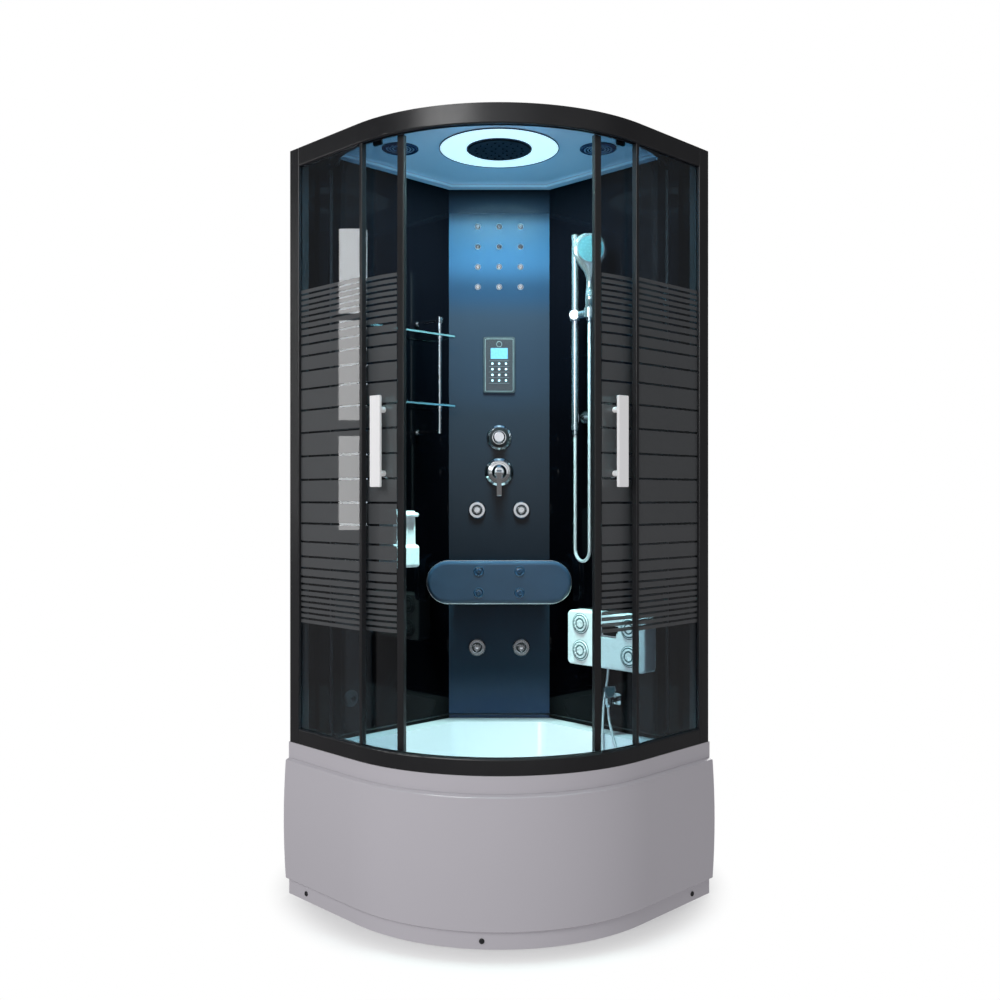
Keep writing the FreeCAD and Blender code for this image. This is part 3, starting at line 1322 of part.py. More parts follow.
def make_steam():
    """Steam generator behind the column, and the outlet nozzle low in the basin's side."""
    body = new_body("steam_generator", Placement(Vector(0, column_face.value + 32, 0), Rotation()))
    box = pad(body, draw(new_sketch(body, "XZ"), box_outline(-75, 470, 75, 800, 10.0)), 72,
              back=True)
    for x in (-45.0, 0.0, 45.0):
        pad(body, draw_circle(new_sketch(body, "XY", 799), (x, 36), 8), 26)
    keep(body)
    nozzle = new_body("steam_outlet", left_wall(640.0, 0.0, 560.0, UP_TO_Y))
    profile = [(4, 0.1), (26, 0.1), (26, 3), (22, 9), (12, 14), (9, 14), (7, 6), (4, 6)]
    revolve(nozzle, draw(new_sketch(nozzle, "XZ"), rounded(profile)))
    keep(nozzle)


# ---------------------------------------------------------------- sliding doors

HANDLE_LOW = 1203.0
HANDLE_HIGH = 1450.0
HANDLE_SCREWS = (1240.0, 1413.0)
HANDLE_WIDE = 37.0
AXLE = 3.0               # radius of a roller's axle
DOOR_CLEAR = 36.0        # the door glass's lower edge above the deck


def make_doors():
    """The left door's glass, stiles with hangers and guides, handle and rollers, and its twin."""
    lead = FRONT - DOOR_OPEN
    rear = lead - DOOR_SPAN
    glass = new_body("door_glass_left", around(0.0))
    low = s.deck_high + DOOR_CLEAR
    high = s.head_top - 15
    margin = 0.45
    pad(glass, draw(new_sketch(glass, "XY", low),
                    band(door_inner, door_outer, rear + margin, lead - margin)), high - low)
    for angle in ROLLER_ANGLES:
        hole = draw_circle(radial_sketch(glass, lead - angle), (0, wheel_high), 4)
        pocket(glass, hole, 600, back=True)
    grips = radial_sketch(glass, lead - HANDLE_ANGLE)
    for z in HANDLE_SCREWS:
        draw_circle(grips, (0, z), 5)
    pocket(glass, grips, 600, back=True)
    keep(glass)
    keep(mirrored("door_glass_right", glass))

    members = [door_stile("lead_stile", lead, 20.0, 7.0, -1),
               door_stile("rear_stile", rear, 12.0, 5.5, 1)]
    for index, angle in enumerate(ROLLER_ANGLES, 1):
        members.append(roller_hanger(index, lead - angle))
        members.append(foot_guide(index, lead - angle))
    frame = group("door_frame_left", members)
    keep(mirrored("door_frame_right", frame))

    handle = make_handle(lead - HANDLE_ANGLE)
    keep(handle)
    keep(mirrored("door_handle_right", handle))
    for index, angle in enumerate(ROLLER_ANGLES, 1):
        wheel = make_wheel("door_roller_left_%d" % index, lead - angle)
        keep(wheel)
        keep(mirrored("door_roller_right_%d" % index, wheel))


def door_stile(label, angle, width, half, mouth):
    """An upright profile over the glass edge at an angle; its mouth opens along mouth * y."""
    gap = s.door_thick * 0.5 + 0.25
    middle = s.door_radius
    floor = 4.0 - width / 2
    end = width / 2
    points = [(middle - half, end), (middle - gap, end), (middle - gap, floor),
              (middle + gap, floor), (middle + gap, end), (middle + half, end),
              (middle + half, -end), (middle - half, -end)]
    radii = [0, 0, 0, 0, 0, 0, 1.5, 1.5]
    if mouth < 0:
        points = [(x, -y) for x, y in reversed(points)]
        radii = list(reversed(radii))
    low = s.deck_high + DOOR_CLEAR
    centre = angle + mouth * math.degrees(end / middle.value)
    return plate(label, rounded(points, radii), s.track_high - 6 - low, low, around(centre))


def roller_hanger(index, angle):
    """Clamp plate inside the glass, with the axle that carries the wheel."""
    body = new_body("roller_hanger_%d" % index, around(angle))
    inner = door_inner - 0.9
    z = wheel_high
    plate_outline = draw(new_sketch(body, "YZ", inner - 4),
                         box_outline(-17, z - 26, 17, z + 17, 6.0))
    pad(body, plate_outline, 4)
    pad(body, draw_circle(new_sketch(body, "YZ", inner - 8), (0, z), 11), 5)
    pad(body, draw_circle(new_sketch(body, "YZ", inner - 2), (0, z), AXLE),
        s.door_radius + 10.6 - inner + 2)
    pad(body, draw_circle(new_sketch(body, "YZ", door_outer + 0.2), (0, z), 6), 1.4)
    return body


def foot_guide(index, angle):
    """H-shaped foot that holds the glass edge and rides over the guide ring."""
    r = s.door_radius
    deck = s.deck_high
    points = [(r - 7, deck + 6), (r - 2.3, deck + 6), (r - 2.3, deck + 30), (r + 2.3, deck + 30),
              (r + 2.3, deck + 6), (r + 7, deck + 6), (r + 7, deck + 46), (r + 2.8, deck + 46),
              (r + 2.8, deck + 35.8), (r - 3, deck + 35.8), (r - 3, deck + 46), (r - 7, deck + 46)]
    body = new_body("foot_guide_%d" % index, around(angle))
    pad(body, draw(new_sketch(body, "XZ"), rounded(points)), 28, both=True)
    return body


def make_handle(angle):
    """Flat bar on two stand-offs, clamped through the glass to two washers inside."""
    body = new_body("door_handle_left", around(angle))
    bar_face = s.door_radius + 32
    bar = pad(body, draw(new_sketch(body, "YZ", bar_face),
                         box_outline(-HANDLE_WIDE / 2, HANDLE_LOW, HANDLE_WIDE / 2, HANDLE_HIGH,
                                     3.0)), 8)
    dress("Fillet", body, bar, lambda e: e.BoundBox.XMin > number(bar_face) + 7.9, 2.0)
    for z in HANDLE_SCREWS:
        stud_start = door_inner - 4.5
        pad(body, draw_circle(new_sketch(body, "YZ", door_outer + 0.2), (0, z), 8),
            bar_face - door_outer)
        pad(body, draw_circle(new_sketch(body, "YZ", stud_start), (0, z), 4),
            bar_face - stud_start)
        pad(body, draw_circle(new_sketch(body, "YZ", stud_start), (0, z), 12), 4)
    return body


def make_wheel(label, angle):
    """Nylon wheel with a shallow groove and five lightening holes."""
    middle = s.door_radius.value + 7.3
    body = new_body(label, around(angle, middle, wheel_high.value, UP_TO_X))
    r = s.wheel_radius
    bore = AXLE + 0.05
    profile = [(bore, -3), (r, -3), (r, -2), (r - 1, 0), (r, 2), (r, 3), (bore, 3)]
    revolve(body, draw(new_sketch(body, "XZ"), rounded(profile)))
    hole = pocket(body, draw_circle(new_sketch(body, "XY"), (6.6, 0), 1.5), both=True)
    spin_pattern(body, hole, 5)
    return body


# ---------------------------------------------------------------- build, check and write

def build():
    make_tub()
    make_apron()
    make_caps()
    make_support()
    make_feet()
    make_waste()
    make_plug()
    make_rails()
    make_posts()
    make_fixed_glass()
    make_walls()
    make_column()
    make_jet_fittings()
    make_jet_balls()
    make_control_panel()
    make_diverter()
    make_mixer()
    make_pad()
    make_roof()
    make_ceiling_fittings()
    make_shelves()
    make_soap()
    make_slide_rail()
    make_slider()
    make_handset()
    make_hoses()
    make_massager()
    make_sprayer()
    make_steam()
    make_doors()
    doc.recompute()


def check():
    faults = []
    for thing in doc.Objects:
        if any(word in thing.State for word in ("Invalid", "Error")):
            faults.append("%s is %s" % (thing.Name, thing.State))
    for thing in KEPT:
        shape = thing.Shape
        if shape.isNull() or not shape.isValid() or shape.Volume <= 0 or not shape.Solids:
            faults.append("%s has no valid solid" % thing.Label)
    return faults


def write():
    os.makedirs("parts", exist_ok=True)
    for thing in KEPT:
        thing.Shape.exportStep(os.path.join("parts", thing.Label + ".step"))
        box = thing.Shape.BoundBox
        print("%-22s %2d solids  %10.0f mm3  x %7.1f %7.1f  y %7.1f %7.1f  z %7.1f %7.1f"
              % (thing.Label, len(thing.Shape.Solids), thing.Shape.Volume,
                 box.XMin, box.XMax, box.YMin, box.YMax, box.ZMin, box.ZMax))


build()
problems = check()
if problems:
    raise RuntimeError("; ".join(problems))
write()
print("%d sub-parts written" % len(KEPT))
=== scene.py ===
import math
import bpy
import numpy as np
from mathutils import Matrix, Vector


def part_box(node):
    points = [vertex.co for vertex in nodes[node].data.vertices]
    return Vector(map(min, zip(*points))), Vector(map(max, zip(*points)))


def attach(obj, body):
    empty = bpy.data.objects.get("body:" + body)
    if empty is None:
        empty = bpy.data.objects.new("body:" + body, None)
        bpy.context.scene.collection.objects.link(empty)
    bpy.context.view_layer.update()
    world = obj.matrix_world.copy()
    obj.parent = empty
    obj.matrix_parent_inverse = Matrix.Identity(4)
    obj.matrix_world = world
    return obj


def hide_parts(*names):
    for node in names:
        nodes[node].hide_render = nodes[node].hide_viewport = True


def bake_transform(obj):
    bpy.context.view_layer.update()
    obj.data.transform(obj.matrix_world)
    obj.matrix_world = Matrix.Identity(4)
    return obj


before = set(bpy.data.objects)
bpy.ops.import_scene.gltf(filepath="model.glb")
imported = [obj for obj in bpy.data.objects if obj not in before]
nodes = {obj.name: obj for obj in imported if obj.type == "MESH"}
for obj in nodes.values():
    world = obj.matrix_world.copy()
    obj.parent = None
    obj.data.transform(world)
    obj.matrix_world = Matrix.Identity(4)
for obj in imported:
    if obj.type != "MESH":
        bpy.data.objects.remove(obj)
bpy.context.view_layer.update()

# plan of the cabin, as in the CAD source
plan = {
    "traySide": 0.900,
    "trayRadius": 0.572,
    "wallDepth": 0.044,      # house wall to the black glass
    "columnDepth": 0.2298,   # house corner to the face of the column
    "doorRadius": 0.516,
    "doorOpen": 29.4,        # leading edge of each open door, in degrees from the front
    "doorSpan": 45.0,
    "postAngle": 43.9,
    "ceiling": 2.209,
    "lampAhead": 0.104,      # lamp, fan and loudspeaker stand this far ahead of the middle
}
plan["centre"] = plan["traySide"] - plan["trayRadius"]
plan["halfDepth"] = (plan["centre"] * math.sqrt(2) + plan["trayRadius"]) / 2
plan["centreY"] = plan["halfDepth"] - plan["centre"] * math.sqrt(2)
plan["columnY"] = plan["halfDepth"] - plan["columnDepth"]


def fromCorner(x, y, z):
    # corner frame (x along the left wall, y along the right wall) to the cabin's own frame
    return np.stack(np.broadcast_arrays((y - x) / math.sqrt(2),
                                        plan["halfDepth"] - (x + y) / math.sqrt(2), z), -1)


def onRightWall(along, off, z):
    return fromCorner(plan["wallDepth"] + off, plan["wallDepth"] + along, z)


def onLeftWall(along, off, z):
    return fromCorner(plan["wallDepth"] + along, plan["wallDepth"] + off, z)


def onArc(theta, radius, z):
    # theta in degrees from the front, positive to the right
    turn = np.radians(theta)
    return np.stack(np.broadcast_arrays(radius * np.sin(turn),
                                        plan["centreY"] - radius * np.cos(turn), z), -1)


# meshes

def meshObject(name, points, faces, body, slot, smooth=True):
    mesh = bpy.data.meshes.new(name)
    mesh.from_pydata(np.asarray(points, float).reshape(-1, 3).tolist(), [],
                     [list(map(int, f)) for f in faces])
    mesh.validate()
    mesh.polygons.foreach_set("use_smooth", np.full(len(mesh.polygons), smooth))
    mesh.update()
    piece = bpy.data.objects.new(name, mesh)
    bpy.context.scene.collection.objects.link(piece)
    if body:
        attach(piece, body)
    return piece


def gridFaces(rows, columns, wrapRows=False, wrapColumns=False):
    # quads of a grid of points, row by row
    r = np.arange(rows if wrapRows else rows - 1)
    c = np.arange(columns if wrapColumns else columns - 1)
    r, c = np.meshgrid(r, c, indexing="ij")
    r, c = r.ravel(), c.ravel()
    r2, c2 = (r + 1) % rows, (c + 1) % columns
    return np.stack([r * columns + c, r * columns + c2, r2 * columns + c2, r2 * columns + c], -1)


def joined(parts):
    # several (points, faces) as one
    points, faces, at = [], [], 0
    for p, f in parts:
        p = np.asarray(p, float).reshape(-1, 3)
        points.append(p)
        faces += [[int(i) + at for i in face] for face in f]
        at += len(p)
    return np.concatenate(points), faces


def sweptLoop(section, path, tangent, up, closed=False):
    # a closed section (m, 2) carried along a path (n, 3): width across, height along up
    path = np.asarray(path, float)
    tangent = np.asarray(tangent, float)
    tangent = tangent / np.linalg.norm(tangent, axis=1, keepdims=True)
    up = np.broadcast_to(np.asarray(up, float), path.shape)
    side = np.cross(tangent, up)
    side = side / np.linalg.norm(side, axis=1, keepdims=True)
    over = np.cross(side, tangent)
    points = (path[:, None] + section[None, :, :1] * side[:, None]
              + section[None, :, 1:] * over[:, None])
    n, m = len(path), len(section)
    faces = [list(f) for f in gridFaces(n, m, wrapRows=closed, wrapColumns=True)]
    if not closed:
        faces += [list(range(m))[::-1], [(n - 1) * m + i for i in range(m)]]
    return points.reshape(-1, 3), faces


def pathTangent(path, closed=False):
    path = np.asarray(path, float)
    if closed:
        return np.roll(path, -1, 0) - np.roll(path, 1, 0)
    return np.gradient(path, axis=0)


def circleSection(radius, count):
    turn = np.linspace(0, 2 * np.pi, count, endpoint=False)
    return np.stack([radius * np.cos(turn), radius * np.sin(turn)], -1)


def roundedSection(width, height, radius, steps=4):
    # outline of a rectangle with quarter-circle corners, counterclockwise
    turn = np.linspace(0, np.pi / 2, steps + 1)
    points = []
    for quarter, (sx, sy) in enumerate(((1, 1), (-1, 1), (-1, -1), (1, -1))):
        a = turn + quarter * np.pi / 2
        cx, cy = sx * (width / 2 - radius), sy * (height / 2 - radius)
        points.append(np.stack([cx + radius * np.cos(a), cy + radius * np.sin(a)], -1))
    return np.concatenate(points)


def turned(profile, place, count):
    # a closed outline of (radius, depth) turned about the place's middle: u = r cos, v = r sin
    profile = np.asarray(profile, float)
    turn = np.linspace(0, 2 * np.pi, count, endpoint=False)
    u = profile[:, :1] * np.cos(turn)
    v = profile[:, :1] * np.sin(turn)
    points = place(u, v, np.broadcast_to(profile[:, 1:], u.shape))
    faces = gridFaces(len(profile), count, wrapRows=True, wrapColumns=True)
    return points.reshape(-1, 3), outwardFaces(points.reshape(-1, 3), faces)


def outwardFaces(points, faces):
    # turns all faces over when the closed mesh they make has a negative volume
    faces = np.asarray(faces)
    a, b, c, d = (points[faces[:, i]] for i in range(4))
    volume = np.einsum("ij,ij->", a, np.cross(b, c)) + np.einsum("ij,ij->", a, np.cross(c, d))
    return faces if volume > 0 else faces[:, ::-1]


def flatRing(inner, outer, low, high):
    # the outline of a flat ring for turned()
    return [(inner, low), (outer, low), (outer, high), (inner, high)]


def framed(outer, inner, place, low, high):
    # the ring between two outlines of as many points, from depth low to high
    outer, inner = np.asarray(outer, float), np.asarray(inner, float)
    loops = [(outer, low), (outer, high), (inner, high), (inner, low)]
    points = np.concatenate([place(o[:, 0], o[:, 1], np.full(len(o), z)) for o, z in loops])
    faces = gridFaces(4, len(outer), wrapRows=True, wrapColumns=True)
    return points, outwardFaces(points, faces)


def slab(outline, place, low, high):
    # a flat outline (m, 2) as a closed slab; place turns (u, v, depth) into points
    outline = np.asarray(outline, float)
    m = len(outline)
    both = np.concatenate([place(outline[:, 0], outline[:, 1], np.full(m, low)),
                           place(outline[:, 0], outline[:, 1], np.full(m, high))])
    sides = np.array([[i, (i + 1) % m, m + (i + 1) % m, m + i] for i in range(m)])
    middle = both.mean(0)
    first = both[sides[0]]
    normal = np.cross(first[1] - first[0], first[3] - first[0])
    ends = [list(range(m))[::-1], [m + i for i in range(m)]]
    if np.dot(normal, first.mean(0) - middle) < 0:
        sides, ends = sides[:, ::-1], [e[::-1] for e in ends]
    return both, ends + [list(f) for f in sides]


def onColumn(u, v, depth):
    # u to the right, v up, depth out of the column's face
    u, v, depth = np.broadcast_arrays(u, v, depth)
    return np.stack([u, plan["columnY"] - depth, v], -1)


def columnAt(x, z):
    # a place on the column's face with its middle at (x, z)
    return lambda u, v, depth: onColumn(x + u, z + v, depth)


def ceilingAt(x):
    # a place on the ceiling's row of fittings, with depth counted down from its face
    return lambda u, v, depth: np.stack(np.broadcast_arrays(x + u, v - plan["lampAhead"],
                                                            plan["ceiling"] - depth), -1)


# materials

def addMath(tree, operation, *values):
    # a Math node whose inputs are numbers or the sockets that feed them
    node = tree.nodes.new("ShaderNodeMath")
    node.operation = operation
    for socket, value in zip(node.inputs, values):
        if isinstance(value, (int, float)):
            socket.default_value = value
        else:
            tree.links.new(value, socket)
    return node.outputs[0]


def mixShaders(tree, share, first, second):
    # the first shader where share is 0, the second where it is 1
    mix = tree.nodes.new("ShaderNodeMixShader")
    for socket, source in zip(mix.inputs, (share, first, second)):
        tree.links.new(source, socket)
    return mix.outputs[0]


smudgeFineness = 5.7      # how much finer the gloss varies than the colour


def buildFinishGroup():
    # colour and gloss that vary slowly over a surface, with a fine grain for the bump
    group = bpy.data.node_groups.new("finishVariation", "ShaderNodeTree")
    face = group.interface
    face.new_socket("Color", in_out="INPUT", socket_type="NodeSocketColor")
    for name, value in (("Tone", 0.05), ("Gloss", 0.2), ("Spread", 0.1), ("Scale", 3.0),
                        ("Grain Scale", 400.0)):
        face.new_socket(name, in_out="INPUT", socket_type="NodeSocketFloat").default_value = value
    face.new_socket("Color", in_out="OUTPUT", socket_type="NodeSocketColor")
    face.new_socket("Roughness", in_out="OUTPUT", socket_type="NodeSocketFloat")
    face.new_socket("Height", in_out="OUTPUT", socket_type="NodeSocketFloat")
    add, link = group.nodes.new, group.links.new
    given, out = add("NodeGroupInput"), add("NodeGroupOutput")
    place = add("ShaderNodeTexCoord")
    cloud = add("ShaderNodeTexNoise")
    cloud.inputs["Detail"].default_value = 4
    link(place.outputs["Object"], cloud.inputs["Vector"])
    link(given.outputs["Scale"], cloud.inputs["Scale"])
    smudge = add("ShaderNodeTexNoise")
    smudge.inputs["Detail"].default_value = 6
    link(place.outputs["Object"], smudge.inputs["Vector"])
    link(addMath(group, "MULTIPLY", given.outputs["Scale"], smudgeFineness),
         smudge.inputs["Scale"])
    swing = add("ShaderNodeMapRange")          # 0.3..0.7 of the noise to -1..1
    swing.inputs["From Min"].default_value = 0.3
    swing.inputs["From Max"].default_value = 0.7
    swing.inputs["To Min"].default_value = -1
    link(cloud.outputs["Fac"], swing.inputs["Value"])
    tint = add("ShaderNodeVectorMath")
    tint.operation = "SCALE"
    link(given.outputs["Color"], tint.inputs[0])
    link(addMath(group, "MULTIPLY_ADD", swing.outputs[0], given.outputs["Tone"], 1.0),
         tint.inputs["Scale"])
    link(tint.outputs[0], out.inputs["Color"])
    link(addMath(group, "MULTIPLY_ADD", smudge.outputs["Fac"], given.outputs["Spread"],
                 given.outputs["Gloss"]), out.inputs["Roughness"])
    grain = add("ShaderNodeTexNoise")
    link(place.outputs["Object"], grain.inputs["Vector"])
    link(given.outputs["Grain Scale"], grain.inputs["Scale"])
    link(grain.outputs["Fac"], out.inputs["Height"])
    return group


finishGroup = buildFinishGroup()
materials = {}


def paintedLightByHeight(tree, stops):
    # a colour for each height, smoothly from one stop to the next; on the column it paints light
    # and shade by height
    place = tree.nodes.new("ShaderNodeTexCoord")
    split = tree.nodes.new("ShaderNodeSeparateXYZ")
    tree.links.new(place.outputs["Object"], split.inputs[0])
    low, high = stops[0][0], stops[-1][0]
    span = tree.nodes.new("ShaderNodeMapRange")
    span.inputs["From Min"].default_value = low
    span.inputs["From Max"].default_value = high
    tree.links.new(split.outputs["Z"], span.inputs["Value"])
    ramp = tree.nodes.new("ShaderNodeValToRGB")
    ramp.color_ramp.interpolation = "EASE"
    elements = ramp.color_ramp.elements
    while len(elements) < len(stops):
        elements.new(0.5)
    for element, (height, color) in zip(elements, stops):
        element.position = (height - low) / (high - low)
        element.color = (*color, 1.0)
    tree.links.new(span.outputs[0], ramp.inputs["Fac"])
    return ramp.outputs["Color"]


def makeMaterial(name, look):
    material = bpy.data.materials.new(name)
    material.use_nodes = True
    tree = material.node_tree
    shader = tree.nodes["Principled BSDF"]
    finish = tree.nodes.new("ShaderNodeGroup")
    finish.node_tree = finishGroup
    finish.inputs["Color"].default_value = (*look["color"], 1.0)
    if "fade" in look:
        tree.links.new(paintedLightByHeight(tree, look["fade"]), finish.inputs["Color"])
    for socket, key, usual in (("Tone", "tone", 0.04), ("Gloss", "gloss", 0.2),
                               ("Spread", "spread", 0.08), ("Scale", "scale", 4.0),
                               ("Grain Scale", "grainScale", 500.0)):
        finish.inputs[socket].default_value = look.get(key, usual)
    tree.links.new(finish.outputs["Color"], shader.inputs["Base Color"])
    tree.links.new(finish.outputs["Roughness"], shader.inputs["Roughness"])
    if look.get("bump"):
        bump = tree.nodes.new("ShaderNodeBump")
        bump.inputs["Strength"].default_value = look["bump"]
        bump.inputs["Distance"].default_value = look.get("bumpDepth", 0.0003)
        tree.links.new(finish.outputs["Height"], bump.inputs["Height"])
        tree.links.new(bump.outputs["Normal"], shader.inputs["Normal"])
    for socket, key in (("Metallic", "metallic"), ("Alpha", "alpha"), ("Coat Weight", "coat"),
                        ("Coat Roughness", "coatRoughness"), ("Specular IOR Level", "specular"),
                        ("Emission Strength", "glow"), ("Subsurface Weight", "subsurface")):
        if key in look:
            shader.inputs[socket].default_value = look[key]
    if "glowColor" in look:
        shader.inputs["Emission Color"].default_value = (*look["glowColor"], 1.0)
    materials[name] = material


looks = {
    "tubAcrylic": {"color": (0.69, 0.665, 0.715), "gloss": 0.12, "spread": 0.08, "tone": 0.012,
                   "scale": 2.0, "coat": 0.4, "coatRoughness": 0.05, "bump": 0.02},
    "blackAluminium": {"color": (0.016, 0.016, 0.018), "gloss": 0.26, "spread": 0.12, "tone": 0.12,
                       "scale": 9.0, "specular": 0.6, "bump": 0.05, "grainScale": 900.0},
    "blackGlass": {"color": (0.0008, 0.0008, 0.0014), "gloss": 0.02, "spread": 0.03, "tone": 0.1,
                   "scale": 1.5, "specular": 0.12},
    # the panel's colour is painted light by height: lighter and bluer at the foot, a painted glow
    # of the lamp from 1.86 to 2.07 m, painted shade in the dark strip above 2.13 m
    "columnPanel": {"color": (0.012, 0.016, 0.021), "gloss": 0.12, "spread": 0.08, "tone": 0.05,
                    "scale": 2.5, "specular": 0.25,
                    "fade": [(0.44, (0.021, 0.047, 0.110)), (0.62, (0.0180, 0.0350, 0.0560)),
                             (1.00, (0.0083, 0.0107, 0.0170)), (1.45, (0.0081, 0.0113, 0.0187)),
                             (1.76, (0.0078, 0.0105, 0.0175)), (1.86, (0.0042, 0.0108, 0.0232)),
                             (1.96, (0.0086, 0.0220, 0.0460)), (2.07, (0.0084, 0.0202, 0.0410)),
                             (2.13, (0.0030, 0.0050, 0.0100)), (2.21, (0.0015, 0.0030, 0.0050))]},
    "chrome": {"color": (0.80, 0.81, 0.83), "metallic": 1.0, "gloss": 0.05, "spread": 0.07,
               "tone": 0.03, "scale": 14.0},
    "chromedPlastic": {"color": (0.74, 0.76, 0.79), "metallic": 1.0, "gloss": 0.09, "spread": 0.10,
                       "tone": 0.04, "scale": 20.0},
    "zincSteel": {"color": (0.48, 0.50, 0.52), "metallic": 1.0, "gloss": 0.34, "spread": 0.25,
                  "tone": 0.15, "scale": 25.0, "bump": 0.15, "grainScale": 260.0},
    "whitePlastic": {"color": (0.80, 0.83, 0.86), "gloss": 0.22, "spread": 0.12, "tone": 0.02,
                     "scale": 10.0, "bump": 0.03},
    "blackPlastic": {"color": (0.020, 0.021, 0.024), "gloss": 0.38, "spread": 0.18, "tone": 0.15,
                     "scale": 30.0, "bump": 0.25, "grainScale": 1500.0},
    "greyPlastic": {"color": (0.27, 0.28, 0.29), "gloss": 0.42, "spread": 0.15, "tone": 0.08,
                    "scale": 20.0, "bump": 0.2, "grainScale": 1200.0},
    "padSkin": {"color": (0.028, 0.050, 0.092), "gloss": 0.30, "spread": 0.15, "tone": 0.08,
                "scale": 12.0, "coat": 0.25, "coatRoughness": 0.2, "bump": 0.25,
                "bumpDepth": 0.0004, "grainScale": 700.0},
    # the hoses' bluish glow is a painted sheen of the cabin's light; the hoses give no light
    "hoseMetal": {"color": (0.70, 0.76, 0.80), "metallic": 0.6, "glow": 0.03,
                  "glowColor": (0.8, 0.95, 1.0), "gloss": 0.16, "spread": 0.14,
                  "tone": 0.08, "scale": 60.0},
    # the handles' white glow is painted light that brightens them; they give no light
    "handleSteel": {"color": (0.93, 0.93, 0.94), "gloss": 0.26, "spread": 0.05, "tone": 0.01,
                    "scale": 2.5, "specular": 0.6, "glow": 0.14, "glowColor": (1.0, 1.0, 1.0)},
    "tubeChrome": {"color": (0.58, 0.65, 0.70), "gloss": 0.12, "spread": 0.10, "tone": 0.04,
                   "scale": 14.0, "metallic": 0.95},
    "padShade": {"color": (0.085, 0.15, 0.165), "gloss": 0.4, "spread": 0.2, "tone": 0.1,
                 "scale": 60.0},
    "lampWhite": {"color": (0.92, 0.97, 1.0), "gloss": 0.4, "spread": 0.1, "tone": 0.01,
                  "glow": 0.60, "glowColor": (0.80, 0.98, 1.0)},
    "screenGlass": {"color": (0.006, 0.008, 0.011), "gloss": 0.03, "spread": 0.04, "tone": 0.1,
                    "scale": 30.0, "coat": 1.0, "coatRoughness": 0.02},
    "screenLit": {"color": (0.05, 0.11, 0.18), "gloss": 0.1, "spread": 0.05, "tone": 0.35,
                  "scale": 160.0, "glow": 0.22, "glowColor": (0.35, 0.68, 1.0)},
    "keyPlastic": {"color": (0.46, 0.50, 0.53), "gloss": 0.25, "spread": 0.1, "tone": 0.05,
                   "scale": 60.0, "glow": 0.08, "glowColor": (0.8, 0.9, 1.0)},
    "keyLine": {"color": (0.085, 0.088, 0.090), "gloss": 0.3, "spread": 0.1, "scale": 60.0},
    # the gaskets' glow is a painted glint; the small jets give no light
    "gasketPaintedGlint": {"color": (0.78, 0.80, 0.82), "gloss": 0.28, "spread": 0.15, "metallic": 1.0,
                  "scale": 40.0, "glow": 0.10, "glowColor": (0.9, 0.95, 1.0)},
    # near black: the overhead rose is kept nearly black, and on the grip's sheet it is painted
    # shade
    "nearBlackRoseAndGripShade": {"color": (0.002, 0.003, 0.005), "specular": 0.15, "gloss": 0.28,
                   "spread": 0.2, "tone": 0.2, "scale": 80.0},
    "jetShade": {"color": (0.006, 0.008, 0.010), "gloss": 0.25, "spread": 0.2, "tone": 0.2,
                 "scale": 120.0},
    "padJet": {"color": (0.020, 0.050, 0.105), "gloss": 0.14, "spread": 0.1, "tone": 0.08,
               "scale": 60.0, "coat": 0.8, "coatRoughness": 0.05},
    "ringPlastic": {"color": (0.020, 0.036, 0.075), "gloss": 0.2, "spread": 0.1, "tone": 0.06,
                    "scale": 20.0},
    "grillePlastic": {"color": (0.16, 0.20, 0.27), "gloss": 0.35, "spread": 0.15, "tone": 0.06,
                      "scale": 20.0, "bump": 0.15, "grainScale": 1200.0},
    "sprayFace": {"color": (0.035, 0.080, 0.100), "gloss": 0.18, "spread": 0.1, "tone": 0.10,
                  "scale": 90.0, "coat": 0.6, "coatRoughness": 0.06},
    "nozzleRubber": {"color": (0.020, 0.085, 0.110), "gloss": 0.45, "spread": 0.2, "scale": 90.0},
    "glassEdge": {"color": (0.045, 0.070, 0.080), "gloss": 0.15, "spread": 0.1, "tone": 0.05,
                  "scale": 30.0, "specular": 0.2},
    # the ceiling bead's cyan colour and glow are painted light from the cabin's lamp; the bead
    # gives no light
    "beadPaintedLight": {"color": (0.55, 0.74, 0.82), "gloss": 0.2, "spread": 0.1, "tone": 0.05,
                 "scale": 30.0, "glow": 0.10, "glowColor": (0.6, 0.9, 1.0)},
    "siliconeBead": {"color": (0.025, 0.030, 0.034), "gloss": 0.3, "spread": 0.15, "tone": 0.05,
                     "scale": 40.0, "subsurface": 0.1},
    "frostedBand": {"color": (0.100, 0.106, 0.112), "gloss": 0.42, "coat": 1.0,
                    "coatRoughness": 0.02, "spread": 0.12, "tone": 0.05,
                    "scale": 3.0, "alpha": 0.80, "bump": 0.12, "grainScale": 1400.0},
}
for name, look in looks.items():
    makeMaterial(name, look)


glassColors = {"smokedGlass": (0.66, 0.74, 0.80), "clearGlass": (0.86, 0.95, 0.94)}
glassIndex = 1.45
lampShare = 0.9      # share of the pane's colour that lamp light keeps


def makeGlass(name, color):
    # a pane that refracts for the eye and lets lamp light straight through
    material = bpy.data.materials.new(name)
    material.use_nodes = True
    tree = material.node_tree
    shader = tree.nodes["Principled BSDF"]
    shader.inputs["Base Color"].default_value = (*color, 1.0)
    shader.inputs["Roughness"].default_value = 0.0
    shader.inputs["Transmission Weight"].default_value = 1.0
    shader.inputs["IOR"].default_value = glassIndex
    clear = tree.nodes.new("ShaderNodeBsdfTransparent")
    clear.inputs["Color"].default_value = (*[c * lampShare for c in color], 1.0)
    ray = tree.nodes.new("ShaderNodeLightPath")
    tree.links.new(mixShaders(tree, ray.outputs["Is Shadow Ray"], shader.outputs[0],
                              clear.outputs[0]), tree.nodes["Material Output"].inputs["Surface"])
    materials[name] = material


for name, color in glassColors.items():
    makeGlass(name, color)


